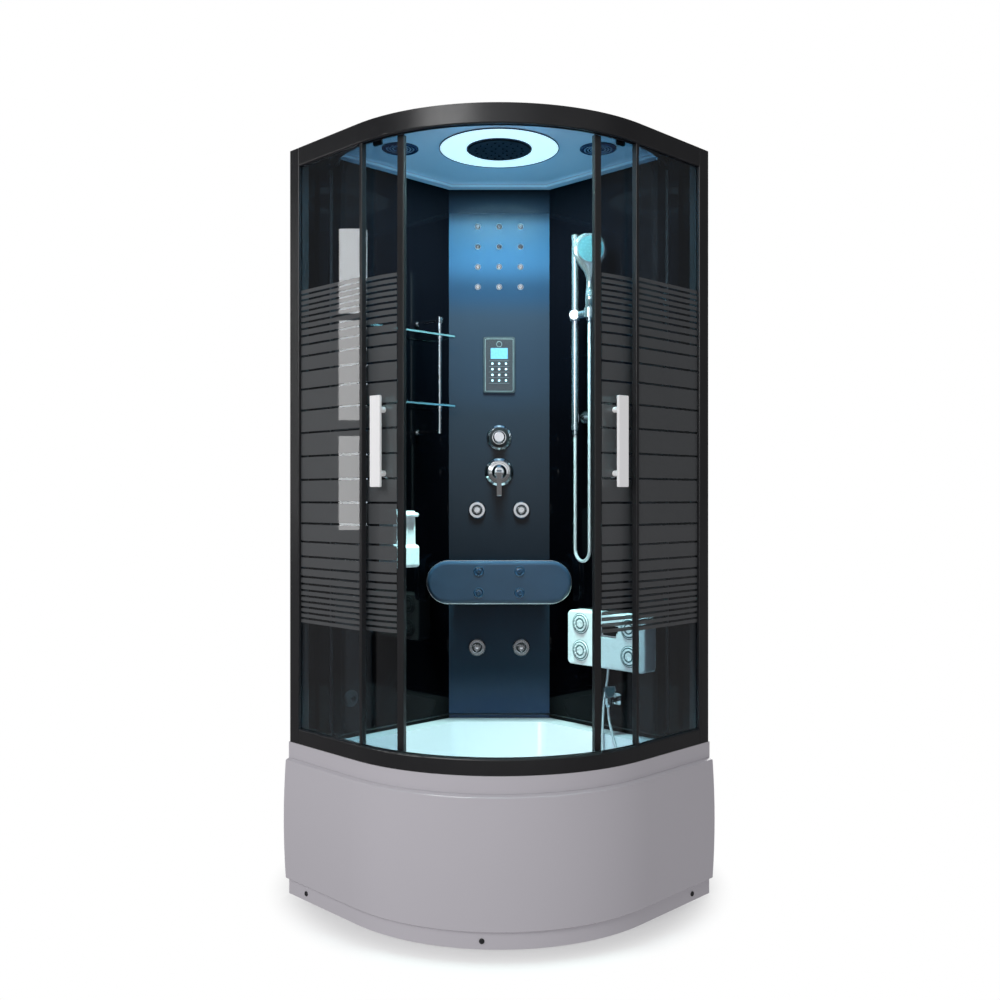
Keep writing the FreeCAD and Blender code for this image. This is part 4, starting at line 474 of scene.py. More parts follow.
def dress(piece, name):
    piece.data.materials.clear()
    piece.data.materials.append(materials[name])


def addTrim(name, shape, finish, slot="dark_plastic", body="cabin", smooth=False):
    # a dressed piece from its shape, the pair of points and faces
    dress(meshObject(name, *shape, body, slot, smooth), finish)


nodeFinish = {
    "tubAcrylic": ["tub_shell", "tub_apron", "roof_cap"],
    "blackPlastic": ["apron_screw_caps", "control_panel", "fan_impeller", "steam_outlet"],
    "nearBlackRoseAndGripShade": ["overhead_rose"],
    "ringPlastic": ["fan_housing", "loudspeaker"],
    "padJet": ["pad_jets"],
    "zincSteel": ["support_frame", "levelling_feet"],
    "greyPlastic": ["waste_trap", "steam_generator", "door_roller_left_1", "door_roller_left_2",
                    "door_roller_right_1", "door_roller_right_2"],
    "blackAluminium": ["bottom_rail", "top_rail", "front_posts", "back_frame", "door_frame_left",
                       "door_frame_right"],
    "smokedGlass": ["fixed_glass_left", "fixed_glass_right", "door_glass_left", "door_glass_right"],
    "blackGlass": ["back_glass_left", "back_glass_right"],
    "columnPanel": ["column_panel"],
    "chromedPlastic": ["jet_fittings", "jet_ball_1", "jet_ball_2", "jet_ball_3", "jet_ball_4",
                       "diverter_knob", "mixer_cap", "sprayer_holder", "waste_plug"],
    "tubeChrome": ["slide_rail", "rail_slider", "handset_cradle", "hand_shower", "foot_sprayer"],
    "chrome": ["shelf_post", "mixer_lever", "diverter_valve", "mixer_valve"],
    "handleSteel": ["door_handle_left", "door_handle_right"],
    "padSkin": ["massage_pad"],
    "lampWhite": ["led_ring"],
    "clearGlass": ["glass_shelves"],
    "whitePlastic": ["soap_dispenser", "soap_button", "foot_massager"],
    "hoseMetal": ["shower_hose", "sprayer_hose"],
}
for finish, names in nodeFinish.items():
    for name in names:
        dress(nodes[name], finish)
print("finishes: %d nodes dressed" % sum(len(v) for v in nodeFinish.values()))


# camera, lamps and floor

cameraLook = {"lens": 38.16, "place": (0.0, -3.244, 1.176), "shift": (0.0008, -0.003)}


def makeCamera():
    data = bpy.data.cameras.new("camera")
    data.lens = cameraLook["lens"]
    data.sensor_width = 36.0
    data.shift_x, data.shift_y = cameraLook["shift"]
    data.clip_end = 100.0
    camera = bpy.data.objects.new("camera", data)
    camera.location = cameraLook["place"]
    camera.rotation_euler = (math.pi / 2, 0, 0)
    bpy.context.scene.collection.objects.link(camera)
    bpy.context.scene.camera = camera


lampLook = {
    "key": {"place": (-2.4, -4.1, 3.0), "aim": (0.0, -0.2, 0.9), "size": 2.4, "power": 92.0},
    "fill": {"place": (3.2, -3.2, 2.2), "aim": (0.0, -0.2, 0.9), "size": 2.6, "power": 8.0},
    "top": {"place": (0.0, 0.4, 4.6), "aim": (0.0, 0.0, 1.0), "size": 3.0, "power": 38.0},
    "rear": {"place": (1.5, 3.6, 3.0), "aim": (0.0, 0.2, 1.2), "size": 2.4, "power": 60.0},
}
# the lamp's own light from under its ring, and a weak blue one that lights the ceiling
cabinLight = {
    "color": (0.58, 1.0, 0.95), "down": 66.0, "downSize": 0.34, "downGap": 0.012,
    "upColor": (0.06, 0.56, 1.0), "up": 3.6, "upSize": 0.5, "upPlace": (0, -0.05, 1.45),
    "upAim": (0, -0.05, 3),
}
# three upright soft boxes to the left, for the glass to mirror
softBoxes = {"x": -3.0, "y": (-0.004, 0.126), "radiance": 5.0,
             "boxes": [(2.134, 2.577), (1.577, 2.098), (1.004, 1.494)]}


def addLamp(name, place, aim, size, power, color=(1.0, 1.0, 1.0), shape="SQUARE", height=None):
    data = bpy.data.lights.new(name, "AREA")
    data.shape = shape
    data.size = size
    if height:
        data.size_y = height
    data.energy = power
    data.color = color
    lamp = bpy.data.objects.new(name, data)
    lamp.location = place
    lamp.rotation_euler = (Vector(aim) - Vector(place)).to_track_quat("-Z", "Y").to_euler()
    lamp.visible_camera = False
    bpy.context.scene.collection.objects.link(lamp)
    return lamp


def makeLamps():
    for name, lamp in lampLook.items():
        addLamp(name, lamp["place"], lamp["aim"], lamp["size"], lamp["power"])
    look = cabinLight
    ringLow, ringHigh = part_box("led_ring")
    ringY = (ringLow.y + ringHigh.y) / 2
    down = addLamp("cabinDown", (0, ringY, ringLow.z - look["downGap"]), (0, ringY, 0),
                   look["downSize"], look["down"], look["color"], "DISK")
    up = addLamp("cabinUp", look["upPlace"], look["upAim"], look["upSize"], look["up"],
                 look["upColor"], "DISK")
    for lamp in (down, up):
        lamp.visible_glossy = False
        lamp.visible_transmission = False
    x, (near, far) = softBoxes["x"], softBoxes["y"]
    for low, high in softBoxes["boxes"]:
        place = (x, (near + far) / 2, (low + high) / 2)
        power = softBoxes["radiance"] * math.pi * (far - near) * (high - low)
        addLamp("softBox", place, (0, place[1], place[2]), far - near, power, shape="RECTANGLE",
                height=high - low)


skyLook = {"diffuse": 0.19, "side": 0.10, "front": 1.0, "frontFrom": 0.80}


def firstSight(tree):
    # 1 for what the camera sees, straight or through glass, but not by way of a reflection
    ray = tree.nodes.new("ShaderNodeLightPath")
    bounced = addMath(tree, "ADD", ray.outputs["Glossy Depth"], ray.outputs["Diffuse Depth"])
    direct = addMath(tree, "LESS_THAN", bounced, 0.5)
    through = addMath(tree, "MULTIPLY", ray.outputs["Is Transmission Ray"], direct)
    return addMath(tree, "MAXIMUM", ray.outputs["Is Camera Ray"], through), ray


def makeWorld():
    # white for the eye and through glass; soft grey as light; in reflections a dim studio that
    # is brightest in front of the cabin
    world = bpy.data.worlds.new("studio")
    world.use_nodes = True
    bpy.context.scene.world = world
    tree = world.node_tree
    link = tree.links.new
    soft = tree.nodes["Background"]
    soft.inputs["Color"].default_value = (0.96, 0.98, 1.0, 1)
    place = tree.nodes.new("ShaderNodeTexCoord")
    split = tree.nodes.new("ShaderNodeSeparateXYZ")
    link(place.outputs["Generated"], split.inputs[0])
    ahead = tree.nodes.new("ShaderNodeMapRange")
    ahead.interpolation_type = "SMOOTHSTEP"
    for key, value in (("From Min", -skyLook["frontFrom"]), ("From Max", -1.0),
                       ("To Min", skyLook["side"]), ("To Max", skyLook["front"])):
        ahead.inputs[key].default_value = value
    link(split.outputs["Y"], ahead.inputs["Value"])
    seen, ray = firstSight(tree)
    level = tree.nodes.new("ShaderNodeMix")
    level.inputs["A"].default_value = skyLook["diffuse"]
    link(ray.outputs["Is Glossy Ray"], level.inputs["Factor"])
    link(ahead.outputs[0], level.inputs["B"])
    link(level.outputs["Result"], soft.inputs["Strength"])
    white = tree.nodes.new("ShaderNodeBackground")
    white.inputs["Color"].default_value = (1, 1, 1, 1)
    link(mixShaders(tree, seen, soft.outputs[0], white.outputs[0]),
         tree.nodes["World Output"].inputs["Surface"])


floorLook = {
    "corners": 96, "radius": 40.0, "paint": (0.88, 0.88, 0.88), "rough": 0.7, "specular": 0.1,
    "fade": (0.56, 0.72),      # from and to this far from the arc's centre it turns white
    "white": 0.35,             # share of plain white inside that
    "bounceColor": (1.0, 0.98, 1.0), "diffuse": 0.50, "glossy": 0.16,
}


def makeFloor():
    # a wide disc that keeps the cabin's shadow and fades to plain white further out; by way of
    # a bounce it is a plain neutral level, so that no coloured light comes off it
    count, radius = floorLook["corners"], floorLook["radius"]
    turn = np.linspace(0, 2 * np.pi, count, endpoint=False)
    mesh = bpy.data.meshes.new("floor")
    mesh.from_pydata([(radius * math.cos(t), radius * math.sin(t), 0.0) for t in turn], [],
                     [list(range(count))])
    floor = bpy.data.objects.new("floor", mesh)
    bpy.context.scene.collection.objects.link(floor)
    material = bpy.data.materials.new("floorWhite")
    material.use_nodes = True
    tree = material.node_tree
    shader = tree.nodes["Principled BSDF"]
    shader.inputs["Base Color"].default_value = (*floorLook["paint"], 1)
    shader.inputs["Roughness"].default_value = floorLook["rough"]
    shader.inputs["Specular IOR Level"].default_value = floorLook["specular"]
    glow = tree.nodes.new("ShaderNodeEmission")
    glow.inputs["Strength"].default_value = 1.0
    place = tree.nodes.new("ShaderNodeTexCoord")
    shift = tree.nodes.new("ShaderNodeVectorMath")
    shift.operation = "SUBTRACT"
    shift.inputs[1].default_value = (0, plan["centreY"], 0)
    away = tree.nodes.new("ShaderNodeVectorMath")
    away.operation = "LENGTH"
    fade = tree.nodes.new("ShaderNodeMapRange")
    fade.interpolation_type = "SMOOTHSTEP"
    near, far = floorLook["fade"]
    fade.inputs["From Min"].default_value = near
    fade.inputs["From Max"].default_value = far
    fade.inputs["To Min"].default_value = floorLook["white"]
    link = tree.links.new
    seen, ray = firstSight(tree)
    link(place.outputs["Object"], shift.inputs[0])
    link(shift.outputs["Vector"], away.inputs[0])
    link(away.outputs["Value"], fade.inputs["Value"])
    lit = mixShaders(tree, addMath(tree, "MULTIPLY", fade.outputs[0], seen),
                     shader.outputs[0], glow.outputs[0])
    plain = tree.nodes.new("ShaderNodeEmission")
    plain.inputs["Color"].default_value = (*floorLook["bounceColor"], 1)
    level = tree.nodes.new("ShaderNodeMapRange")
    level.inputs["To Min"].default_value = floorLook["diffuse"]
    level.inputs["To Max"].default_value = floorLook["glossy"]
    link(ray.outputs["Is Glossy Ray"], level.inputs["Value"])
    link(level.outputs[0], plain.inputs["Strength"])
    link(mixShaders(tree, seen, plain.outputs[0], lit),
         tree.nodes["Material Output"].inputs["Surface"])
    mesh.materials.append(material)


makeCamera()
makeLamps()
makeWorld()
makeFloor()
bpy.context.scene.view_settings.view_transform = "Standard"
print("studio ready")


# hoses: wound metal tubes on the routes of the CAD source

hoseRoutes = {
    # (along the right wall, off the wall, height)
    "shower_hose": [(0.398, 0.055, 1.3737), (0.398, 0.055, 1.0252), (0.398, 0.055, 0.9948),
                    (0.4191, 0.0594, 0.9732), (0.4489, 0.0656, 0.9732), (0.470, 0.070, 0.9948),
                    (0.470, 0.070, 1.0252), (0.470, 0.070, 1.7267)],
    "sprayer_hose": [(0.515, 0.034, 0.6427), (0.514, 0.033, 0.612), (0.499, 0.030, 0.566),
                     (0.501, 0.042, 0.510), (0.520, 0.068, 0.455), (0.538, 0.090, 0.400),
                     (0.545, 0.096, 0.360), (0.564, 0.100, 0.341), (0.590, 0.100, 0.341),
                     (0.608, 0.096, 0.360), (0.598, 0.090, 0.400), (0.564, 0.075, 0.452),
                     (0.533, 0.055, 0.496), (0.530, 0.051, 0.5243)],
}
hoseLook = {
    "shower_hose": {"diameter": 0.011, "pitch": 0.0034, "groove": 0.0006, "far": "object",
                    "follows": "slider", "still": (0.470, 0.070, 0.700),
                    "moved": (0.57165, 0.070, 0.710165)},
    "sprayer_hose": {"diameter": 0.008, "pitch": 0.0028, "groove": 0.0005, "far": "object"},
}


def routePoints(name, spacing):
    # the route's smooth NURBS line, read back as points evenly spaced along it
    data = bpy.data.curves.new(name + "_route", "CURVE")
    data.dimensions = "3D"
    data.resolution_u = 24
    line = data.splines.new("NURBS")
    route = np.array([onRightWall(*p) for p in hoseRoutes[name]])
    line.points.add(len(route) - 1)
    line.points.foreach_set("co", np.column_stack([route, np.ones(len(route))]).ravel())
    line.order_u = 3
    line.use_endpoint_u = True
    holder = bpy.data.objects.new(name + "_route", data)
    bpy.context.scene.collection.objects.link(holder)
    mesh = bpy.data.meshes.new_from_object(holder)
    dense = np.array([v.co for v in mesh.vertices])
    bpy.data.objects.remove(holder)
    bpy.data.meshes.remove(mesh)
    reach = np.concatenate([[0], np.cumsum(np.linalg.norm(np.diff(dense, axis=0), axis=1))])
    count = int(round(reach[-1] / spacing)) + 1
    at = np.linspace(0, reach[-1], count)
    return np.stack([np.interp(at, reach, dense[:, i]) for i in range(3)], -1), reach[-1]


def makeHose(name):
    # a tube with one groove in every pitch: the radius is half the diameter, less the groove's
    # depth times the cube of half of one plus the cosine of the angle that turns once per pitch
    look = hoseLook[name]
    path, length = routePoints(name, look["pitch"] / 4)
    tangent = pathTangent(path)
    tangent /= np.linalg.norm(tangent, axis=1, keepdims=True)
    wallNormal = np.array([-1.0, -1.0, 0.0]) / math.sqrt(2)     # away from the right wall
    side = np.cross(tangent, wallNormal)
    side /= np.linalg.norm(side, axis=1, keepdims=True)
    over = np.cross(side, tangent)
    sides = 14
    turn = np.linspace(0, 2 * np.pi, sides, endpoint=False)
    step = np.arange(len(path)) / 4.0
    dip = (0.5 + 0.5 * np.cos(2 * np.pi * step)) ** 3
    radius = look["diameter"] / 2 - look["groove"] * dip
    ring = (np.cos(turn)[None, :, None] * side[:, None]
            + np.sin(turn)[None, :, None] * over[:, None])
    points = path[:, None] + radius[:, None, None] * ring
    faces = [list(f) for f in gridFaces(len(path), sides, wrapColumns=True)]
    last = (len(path) - 1) * sides
    faces += [list(range(sides))[::-1], [last + i for i in range(sides)]]
    piece = meshObject(name + "_wound", points, [f[::-1] for f in faces],
                       None if "follows" in look else "cabin", "metal_hose")
    if "follows" in look:
        # the rising run rides no body and only has its transform baked; the still and moved points
        # are worked out but not used, so it does not go along with the slider
        tuple(onRightWall(*look["still"]))
        tuple(onRightWall(*look["moved"]))
        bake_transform(piece)
    dress(piece, "hoseMetal")
    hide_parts(name)


for name in hoseRoutes:
    makeHose(name)
print("hoses wound")


# frosted bands on the front glass

bandLook = {
    "middle": 1.295,       # height of the widest bands
    "count": 15,           # bands above and below it
    "clearLine": 0.006,    # clear line between two bands
    "narrow": 0.016,       # spacing of the outer bands
    "widen": 0.055,        # added to it at the middle
    "turnAt": 4.0,         # the band where half of that has gone
    "fall": 1.3,           # how many bands that change takes
    "thick": 0.00025,
    "lift": 0.0002,
    "paneInset": 0.031,    # the tray's edge to the outer face of a fixed pane
    "doorProud": 0.0025,   # the door's middle radius to the outer face of its pane
    "doorClear": (2.75, 1.4),       # degrees left clear at a door's leading and rear edge
    "paneClear": (0.047, 1.15),     # metres left clear at the wall, degrees at the post
}


def bandHeights():
    # lower and upper edge of each band, widest at the middle and narrower both ways: the spacing
    # is the narrow one plus what widens it over one plus e to the band's number less the turning
    # one, over the fall
    index = np.arange(bandLook["count"])
    pitch = bandLook["narrow"] + bandLook["widen"] / (
        1 + np.exp((index - bandLook["turnAt"]) / bandLook["fall"]))
    edge = np.concatenate([[0], np.cumsum(pitch)])
    half = bandLook["clearLine"] / 2
    up = np.stack([edge[:-1] + half, edge[1:] - half], -1)
    return np.concatenate([bandLook["middle"] - up[::-1, ::-1], bandLook["middle"] + up])


def bandStrips(name, line, outward, body):
    # each band is a thin closed strip that follows the pane's outer face
    parts = []
    for low, high in bandHeights():
        layers = []
        for depth in (bandLook["lift"], bandLook["lift"] + bandLook["thick"]):
            for z in (low, high):
                layers.append(np.column_stack([line + outward * depth, np.full(len(line), z)]))
        ring = np.stack([layers[0], layers[1], layers[3], layers[2]], 1)
        faces = [list(f) for f in gridFaces(len(line), 4, wrapColumns=True)]
        last = (len(line) - 1) * 4
        faces += [[3, 2, 1, 0], [last, last + 1, last + 2, last + 3]]
        parts.append((ring.reshape(-1, 3), faces))
    addTrim(name, joined(parts), "frostedBand", "smoked_glass", body)


def arcLine(theta, radius):
    # an arc in plan, and the directions out from its centre
    line = onArc(theta, radius, 0.0)[:, :2]
    outward = line - [0, plan["centreY"]]
    return line, outward / np.linalg.norm(outward, axis=1, keepdims=True)


def makeBands():
    # on each side one set on the door's arc, and one on the pane's flat part and its short bend
    paneFace = plan["traySide"] - bandLook["paneInset"]
    front, rear = bandLook["doorClear"]
    wallGap, postGap = bandLook["paneClear"]
    for name, side in (("Left", -1), ("Right", 1)):
        theta = np.linspace(plan["doorOpen"] + front,
                            plan["doorOpen"] + plan["doorSpan"] - rear, 40) * side
        bandStrips("doorBands" + name, *arcLine(theta, plan["doorRadius"] + bandLook["doorProud"]),
                   "door_" + name.lower())
        flat = fromCorner(paneFace, np.linspace(wallGap, plan["centre"], 4)[:-1], 0.0)[:, :2]
        bend, bendOut = arcLine(-np.linspace(45.0, plan["postAngle"] + postGap, 6),
                                paneFace - plan["centre"])
        line = np.concatenate([flat, bend])
        outward = np.concatenate([np.full((len(flat), 2), -1 / math.sqrt(2)), bendOut])
        if side > 0:
            line, outward = line * [-1, 1], outward * [-1, 1]
        bandStrips("paneBands" + name, line, outward, "cabin")


makeBands()
print("frosted bands laid")


# control panel

panelLook = {
    "middle": 1.615, "face": 0.005, "plate": (0.0985, 0.1795),
    "outline": (0.0950, 0.1760, 0.0020),         # width, height and line of the light frame
    "screen": (0.0567, 0.036), "screenUp": 0.0385,
    "ring": (0.0080, 0.0096), "ringUp": 0.0694,
    "keyPitch": (0.0225, -0.0187), "keyTop": 0.0048, "keyRadius": 0.0034,
    "rows": 4, "columns": 3, "rule": 0.0007,
    # underside and top of each layer over the panel's face
    "layers": {"plate": (0.0001, 0.0005), "outline": (0.0004, 0.0008), "ring": (0.0004, 0.0009),
               "rule": (0.0004, 0.0006), "screen": (0.0004, 0.0009), "key": (0.0004, 0.0010)},
}


def makePanel():
    # plate, light outline, lit screen, sensor ring, dot keys and the thin rules between them
    look = panelLook
    at = columnAt(0.0, look["middle"])
    depths = {name: (look["face"] + low, look["face"] + high)
              for name, (low, high) in look["layers"].items()}
    plate = slab(roundedSection(*look["plate"], 0.004), at, *depths["plate"])
    addTrim("panelPlate", plate, "screenGlass")
    wide, high, line = look["outline"]
    outline = framed(roundedSection(wide, high, 0.005),
                     roundedSection(wide - 2 * line, high - 2 * line, 0.003), at,
                     *depths["outline"])
    ring = turned(flatRing(*look["ring"], *depths["ring"]),
                  columnAt(0.0, look["middle"] + look["ringUp"]), 32)
    parts = [outline, ring]
    stepU, stepV = look["keyPitch"]
    span = stepU * look["columns"] / 2
    for row in range(look["rows"] + 1):
        v = look["keyTop"] + (row - 0.5) * stepV
        parts.append(slab(roundedSection(2 * span, look["rule"], 0.0002) + [0, v], at,
                          *depths["rule"]))
    addTrim("panelLines", joined(parts), "keyLine")
    screen = slab(roundedSection(*look["screen"], 0.002) + [0, look["screenUp"]], at,
                  *depths["screen"])
    addTrim("panelScreen", screen, "screenLit")
    keys = []
    for row in range(look["rows"]):
        for column in range(look["columns"]):
            u = (column - (look["columns"] - 1) / 2) * stepU
            v = look["keyTop"] + row * stepV
            keys.append(slab(circleSection(look["keyRadius"], 20) + [u, v], at, *depths["key"]))
    addTrim("panelKeys", joined(keys), "keyPlastic")


makePanel()


# trim of the massage pad

padLook = {"length": 0.468, "height": 0.137, "front": 0.112, "middle": 0.900, "trim": 0.0022,
           "trimOut": 0.0008, "trimBack": 0.017}


def makePadTrim():
    # a thin bright cord round the pad, a little behind the edge of its front face
    half = (padLook["length"] - padLook["height"]) / 2
    radius = padLook["height"] / 2 + padLook["trimOut"]
    turn = np.linspace(-np.pi / 2, np.pi / 2, 25)
    right = np.stack([half + radius * np.cos(turn), radius * np.sin(turn)], -1)
    loop = np.concatenate([right, -right])
    path = onColumn(loop[:, 0], padLook["middle"] + loop[:, 1],
                    padLook["front"] - padLook["trimBack"])
    cord = sweptLoop(circleSection(padLook["trim"], 10), path, pathTangent(path, True),
                     (0, 1, 0), closed=True)
    addTrim("padTrim", cord, "chrome", "chrome", smooth=True)


makePadTrim()


# jets and valve plates

jetLook = {
    "shade": (0.0113, 0.0170), "lift": 0.0091, "shadeThick": 0.0003,
    "ribs": 3, "rib": 0.0007, "ribInset": 0.0004, "ribLift": 0.0007, "reach": 0.0036,
    "sweep": 0.8,      # radians that a rib turns on its way out
    "gasket": (0.0081, 0.0095), "gasketDepth": (0.00005, 0.0007),
    "columns": (-0.071, 0.0, 0.071), "rows": (2.077, 2.010, 1.943, 1.876),
}
# height of each plate, and its rings as inner radius and depth, outer radius and depth
plateLook = {"diverter": (1.374, [(0.0228, 0.00905, 0.0336, 0.00758)]),
             "mixer": (1.259, [(0.0302, 0.01123, 0.0314, 0.01104),
                               (0.0352, 0.01046, 0.0364, 0.01027)])}


def coneRing(inner, innerDepth, outer, outerDepth, thick=0.0002):
    # the outline of a thin ring that lies on a conical face
    return [(inner, innerDepth), (outer, outerDepth), (outer, outerDepth + thick),
            (inner, innerDepth + thick)]


def makeJetTrim():
    # a dark annulus with three curved chrome ribs on each swivelling jet; gaskets with a painted
    # glint on small ones
    look = jetLook
    inner, outer = look["shade"]
    lift = look["lift"]
    share = np.linspace(0.0, 1.0, 9)
    radius = inner - look["ribInset"] + look["reach"] * share
    for index in range(1, 5):
        body = "jet_%d" % index
        low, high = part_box("jet_ball_%d" % index)
        at = columnAt((low[0] + high[0]) / 2, (low[2] + high[2]) / 2)
        shade = turned(flatRing(inner, outer, lift, lift + look["shadeThick"]), at, 40)
        addTrim("jetShade%d" % index, shade, "jetShade", body=body)
        ribs = []
        for number in range(look["ribs"]):
            turn = 2 * np.pi * number / look["ribs"] + look["sweep"] * share
            path = at(radius * np.cos(turn), radius * np.sin(turn),
                      np.full(len(share), lift + look["ribLift"]))
            ribs.append(sweptLoop(circleSection(look["rib"], 8), path, pathTangent(path),
                                  (0, -1, 0)))
        addTrim("jetRibs%d" % index, joined(ribs), "chrome", "chrome", body, smooth=True)
    gaskets = [turned(flatRing(*look["gasket"], *look["gasketDepth"]), columnAt(x, z), 24)
               for x in look["columns"] for z in look["rows"]]
    addTrim("jetGaskets", joined(gaskets), "gasketPaintedGlint", "chrome")


def makePlateLines():
    # dark rings on the two valve plates: on the mixer two thin ones are painted shade for its
    # grooves, on the diverter a wide one darkens the plate's slope
    for name, (high, rings) in plateLook.items():
        parts = [turned(coneRing(*ring), columnAt(0.0, high), 64) for ring in rings]
        addTrim(name + "DarkRings", joined(parts), "jetShade")


makeJetTrim()
makePlateLines()
print("column finished")


# ceiling: trims of the lamp, grilles of fan and loudspeaker, bead along the back

ceilingLook = {
    "lampTrims": [(0.0944, 0.0967, 0.0045), (0.1752, 0.1774, 0.0035)],
    "side": 0.293,             # fan and loudspeaker, from the middle
    "grille": [(0.0375, 0.0418), (0.0285, 0.0325), (0.0195, 0.0235)],
    "grilleThick": 0.0009, "bar": (0.0840, 0.0018, 0.0006), "bars": 4, "barDrop": 0.0004,
    "barStep": 0.0001,         # each bar is this much thicker than the one before
    "fanFace": 0.0021, "speakerFace": 0.0046,
    "bead": (0.0026, 0.0062), "beadHigh": 2.2046, "beadInset": 0.0284, "beadReach": 0.822,
    "seam": 0.0020, "seamHigh": 0.4532, "seamInset": 0.0012, "seamReach": 0.800,
}


def beadAlong(gap, reach, high, section):
    # one straight closed piece with square ends along each wall and one across the column, all
    # the same gap off the faces behind them
    inset = plan["wallDepth"] + gap
    slant = (plan["columnDepth"] + gap) * math.sqrt(2)
    run = np.array([(reach, inset), (slant - inset, inset), (inset, slant - inset),
                    (inset, reach)])
    path = fromCorner(run[:, 0], run[:, 1], high)
    parts = []
    for first, last in zip(path[:-1], path[1:]):
        pair = np.stack([first, last])
        parts.append(sweptLoop(section, pair, np.tile(last - first, (2, 1)), (0, 0, 1)))
    return joined(parts)


def makeCeilingTrims():
    look = ceilingLook
    rings = [turned(flatRing(inner, outer, 0.0002, deep), ceilingAt(0.0), 96)
             for inner, outer, deep in look["lampTrims"]]
    addTrim("lampTrims", joined(rings), "ringPlastic")
    for name, x in (("fan", -look["side"]), ("speaker", look["side"])):
        at, low = ceilingAt(x), look[name + "Face"]
        parts = [turned(flatRing(inner, outer, low, low + look["grilleThick"]), at, 48)
                 for inner, outer in look["grille"]]
        for number in range(look["bars"]):
            turn = np.pi / look["bars"] * number
            bar = roundedSection(*look["bar"])
            bar = np.stack([bar[:, 0] * np.cos(turn) - bar[:, 1] * np.sin(turn),
                            bar[:, 0] * np.sin(turn) + bar[:, 1] * np.cos(turn)], -1)
            parts.append(slab(bar, at, low - look["barDrop"], low + look["barStep"] * number))
        addTrim(name + "Grille", joined(parts), "grillePlastic")
    bead = beadAlong(look["beadInset"], look["beadReach"], look["beadHigh"],
                     roundedSection(*look["bead"], 0.001))
    addTrim("ceilingBead", bead, "beadPaintedLight", "white_plastic")
    seam = beadAlong(look["seamInset"], look["seamReach"], look["seamHigh"],
                     circleSection(look["seam"], 8))
    addTrim("wallSeal", seam, "siliconeBead", "white_plastic", smooth=True)


makeCeilingTrims()
print("ceiling finished")


# fittings on the walls

wallLook = {
    "shelf": {"middle": (0.497, 0.062), "size": (0.370, 0.118), "corner": 0.014, "edge": 0.0006,
              "highs": (1.464, 1.686), "thick": 0.006, "bevel": 0.0003},
    "soap": {"along": 0.487, "window": (0.010, 0.052, 0.005), "high": 1.068,
             "off": (0.0686, 0.0704)},
    "grip": {"outline": [(0.4860, 0.7415), (0.5620, 0.7415), (0.5720, 0.7755), (0.4760, 0.7755)],
             "off": (0.0223, 0.0229)},
    "pads": {"places": [(0.421, 0.775), (0.421, 0.690), (0.615, 0.775), (0.615, 0.690)],
             "ring": (0.0312, 0.0334), "off": (0.0562, 0.0570),
             "grooves": [(0.0128, 0.05989, 0.0180, 0.05968), (0.0244, 0.05941, 0.0284, 0.05925)]},
}
sprayTurn = 52.0      # heading of both sprays in degrees, corner frame
# each spray's body: its axis along and off the wall, its height, and the depth of its face; its
# rings of tips as count and radius; and a tip's radius
sprayLook = {
    "handset": {
        "name": "spray", "axis": (0.470, 0.070, 1.949), "front": 0.0205, "tip": 0.0016,
        "outline": circleSection(0.0405, 48), "rings": [(6, 0.010), (12, 0.021), (18, 0.032)],
        "plateDepth": (0.0001, 0.0008), "tipDepth": (0.0006, 0.0020)},
    "sprayer": {
        "name": "footSpray", "axis": (0.530, 0.051, 0.575), "front": 0.0220, "tip": 0.0010,
        "outline": [(-0.0072, -0.0144), (0.0072, -0.0144), (0.0160, 0.0048),
                    (0.0128, 0.0144), (-0.0128, 0.0144), (-0.0160, 0.0048)],
        "rings": [(5, 0.0045), (9, 0.0095)],
        "plateDepth": (0.0001, 0.0006), "tipDepth": (0.0004, 0.0012)},
}


def sprayAt(along, off, high):
    # a place on a spray's axis: u across, v up, depth the way it sprays
    turn = math.radians(sprayTurn)
    x, y = plan["wallDepth"] + off, plan["wallDepth"] + along
    return lambda u, v, depth: fromCorner(x + depth * math.cos(turn) - u * math.sin(turn),
                                          y + depth * math.sin(turn) + u * math.cos(turn),
                                          high + v)


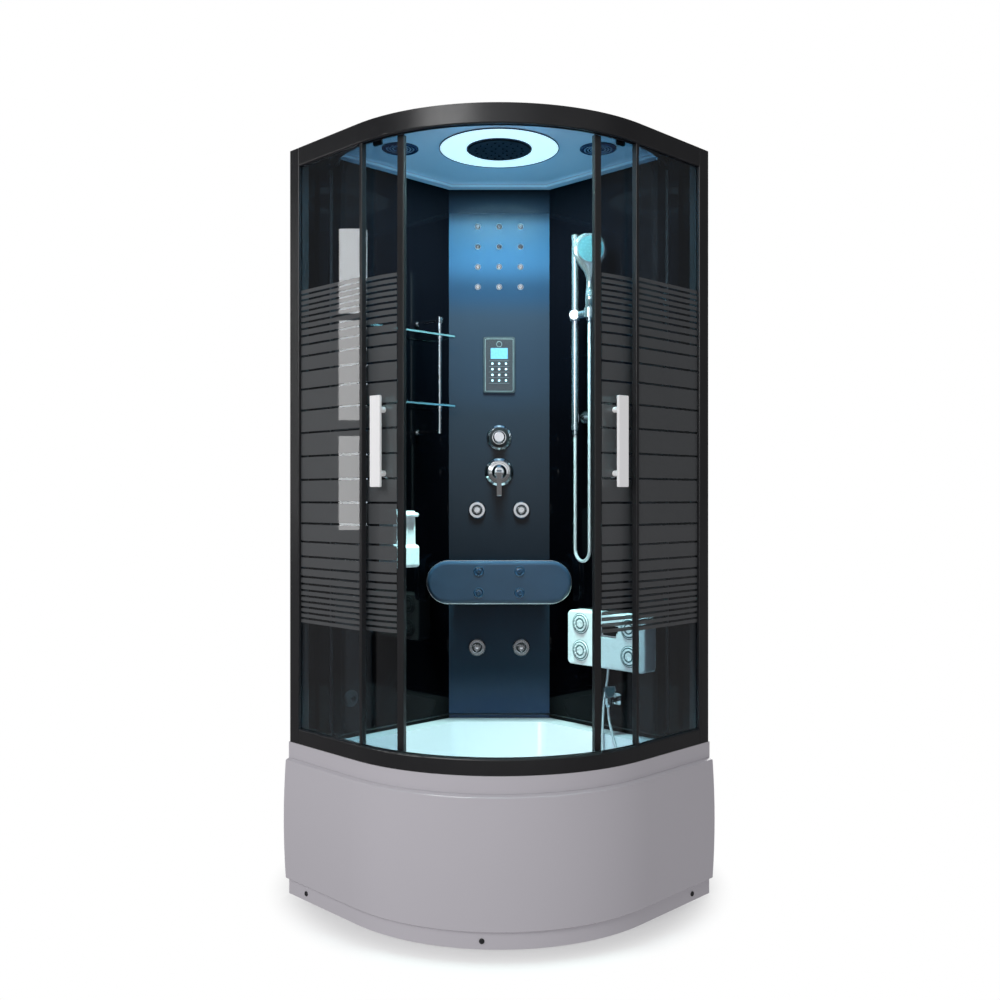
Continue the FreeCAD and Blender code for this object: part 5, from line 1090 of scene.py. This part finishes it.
def nubs(at, rings, radius, low, high):
    # soft nozzle tips: small round studs in rings
    parts = []
    for count, reach in rings:
        for number in range(count):
            turn = 2 * np.pi * number / count
            u, v = reach * math.cos(turn), reach * math.sin(turn)
            outline = circleSection(radius, 8)
            parts.append(slab(outline + [u, v], at, low, high))
    return joined(parts)


def onRight(along, high):
    # a place on the right wall's face with its middle at (along, high)
    return lambda u, v, depth: onRightWall(along + u, depth, high + v)


def makeWallTrim():
    # edges of the shelves, soap window, a dark sheet of painted shade in the grip's recess, rings
    # and grooves of the foot pads
    look = wallLook["shelf"]
    outline = roundedSection(*look["size"], look["corner"], 6)
    wide, high = look["size"]
    grown = roundedSection(wide + 2 * look["edge"], high + 2 * look["edge"],
                           look["corner"] + look["edge"], 6)
    edges = [framed(grown + look["middle"], outline + look["middle"], onLeftWall,
                    z + look["bevel"], z + look["thick"] - look["bevel"])
             for z in look["highs"]]
    addTrim("shelfEdges", joined(edges), "glassEdge", "clear_glass")
    look = wallLook["soap"]
    window = slab(roundedSection(*look["window"]) + [look["along"], look["high"]],
                  lambda u, v, depth: onLeftWall(u, depth, v), *look["off"])
    addTrim("soapWindow", window, "screenGlass")
    look = wallLook["grip"]
    # a near-black sheet on the grip recess's floor: painted shade
    addTrim("gripPaintedShade", slab(look["outline"], onRight(0.0, 0.0), *look["off"]), "nearBlackRoseAndGripShade")
    look = wallLook["pads"]
    rings = [turned(flatRing(*look["ring"], *look["off"]), onRight(*place), 40)
             for place in look["places"]]
    rings += [turned(coneRing(*groove), onRight(*place), 40)
              for place in look["places"] for groove in look["grooves"]]
    addTrim("footPadRings", joined(rings), "padShade")


def makeSprayFaces():
    # a face plate and its rings of tips on the hand shower and on the foot sprayer
    for body, look in sprayLook.items():
        at = sprayAt(*look["axis"])
        depths = np.add(look["front"], (look["plateDepth"], look["tipDepth"]))
        addTrim(look["name"] + "Plate", slab(look["outline"], at, *depths[0]), "sprayFace",
                "chromed_plastic", body)
        addTrim(look["name"] + "Tips", nubs(at, look["rings"], look["tip"], *depths[1]),
                "nozzleRubber", body=body)


makeWallTrim()
makeSprayFaces()
print("fittings finished")
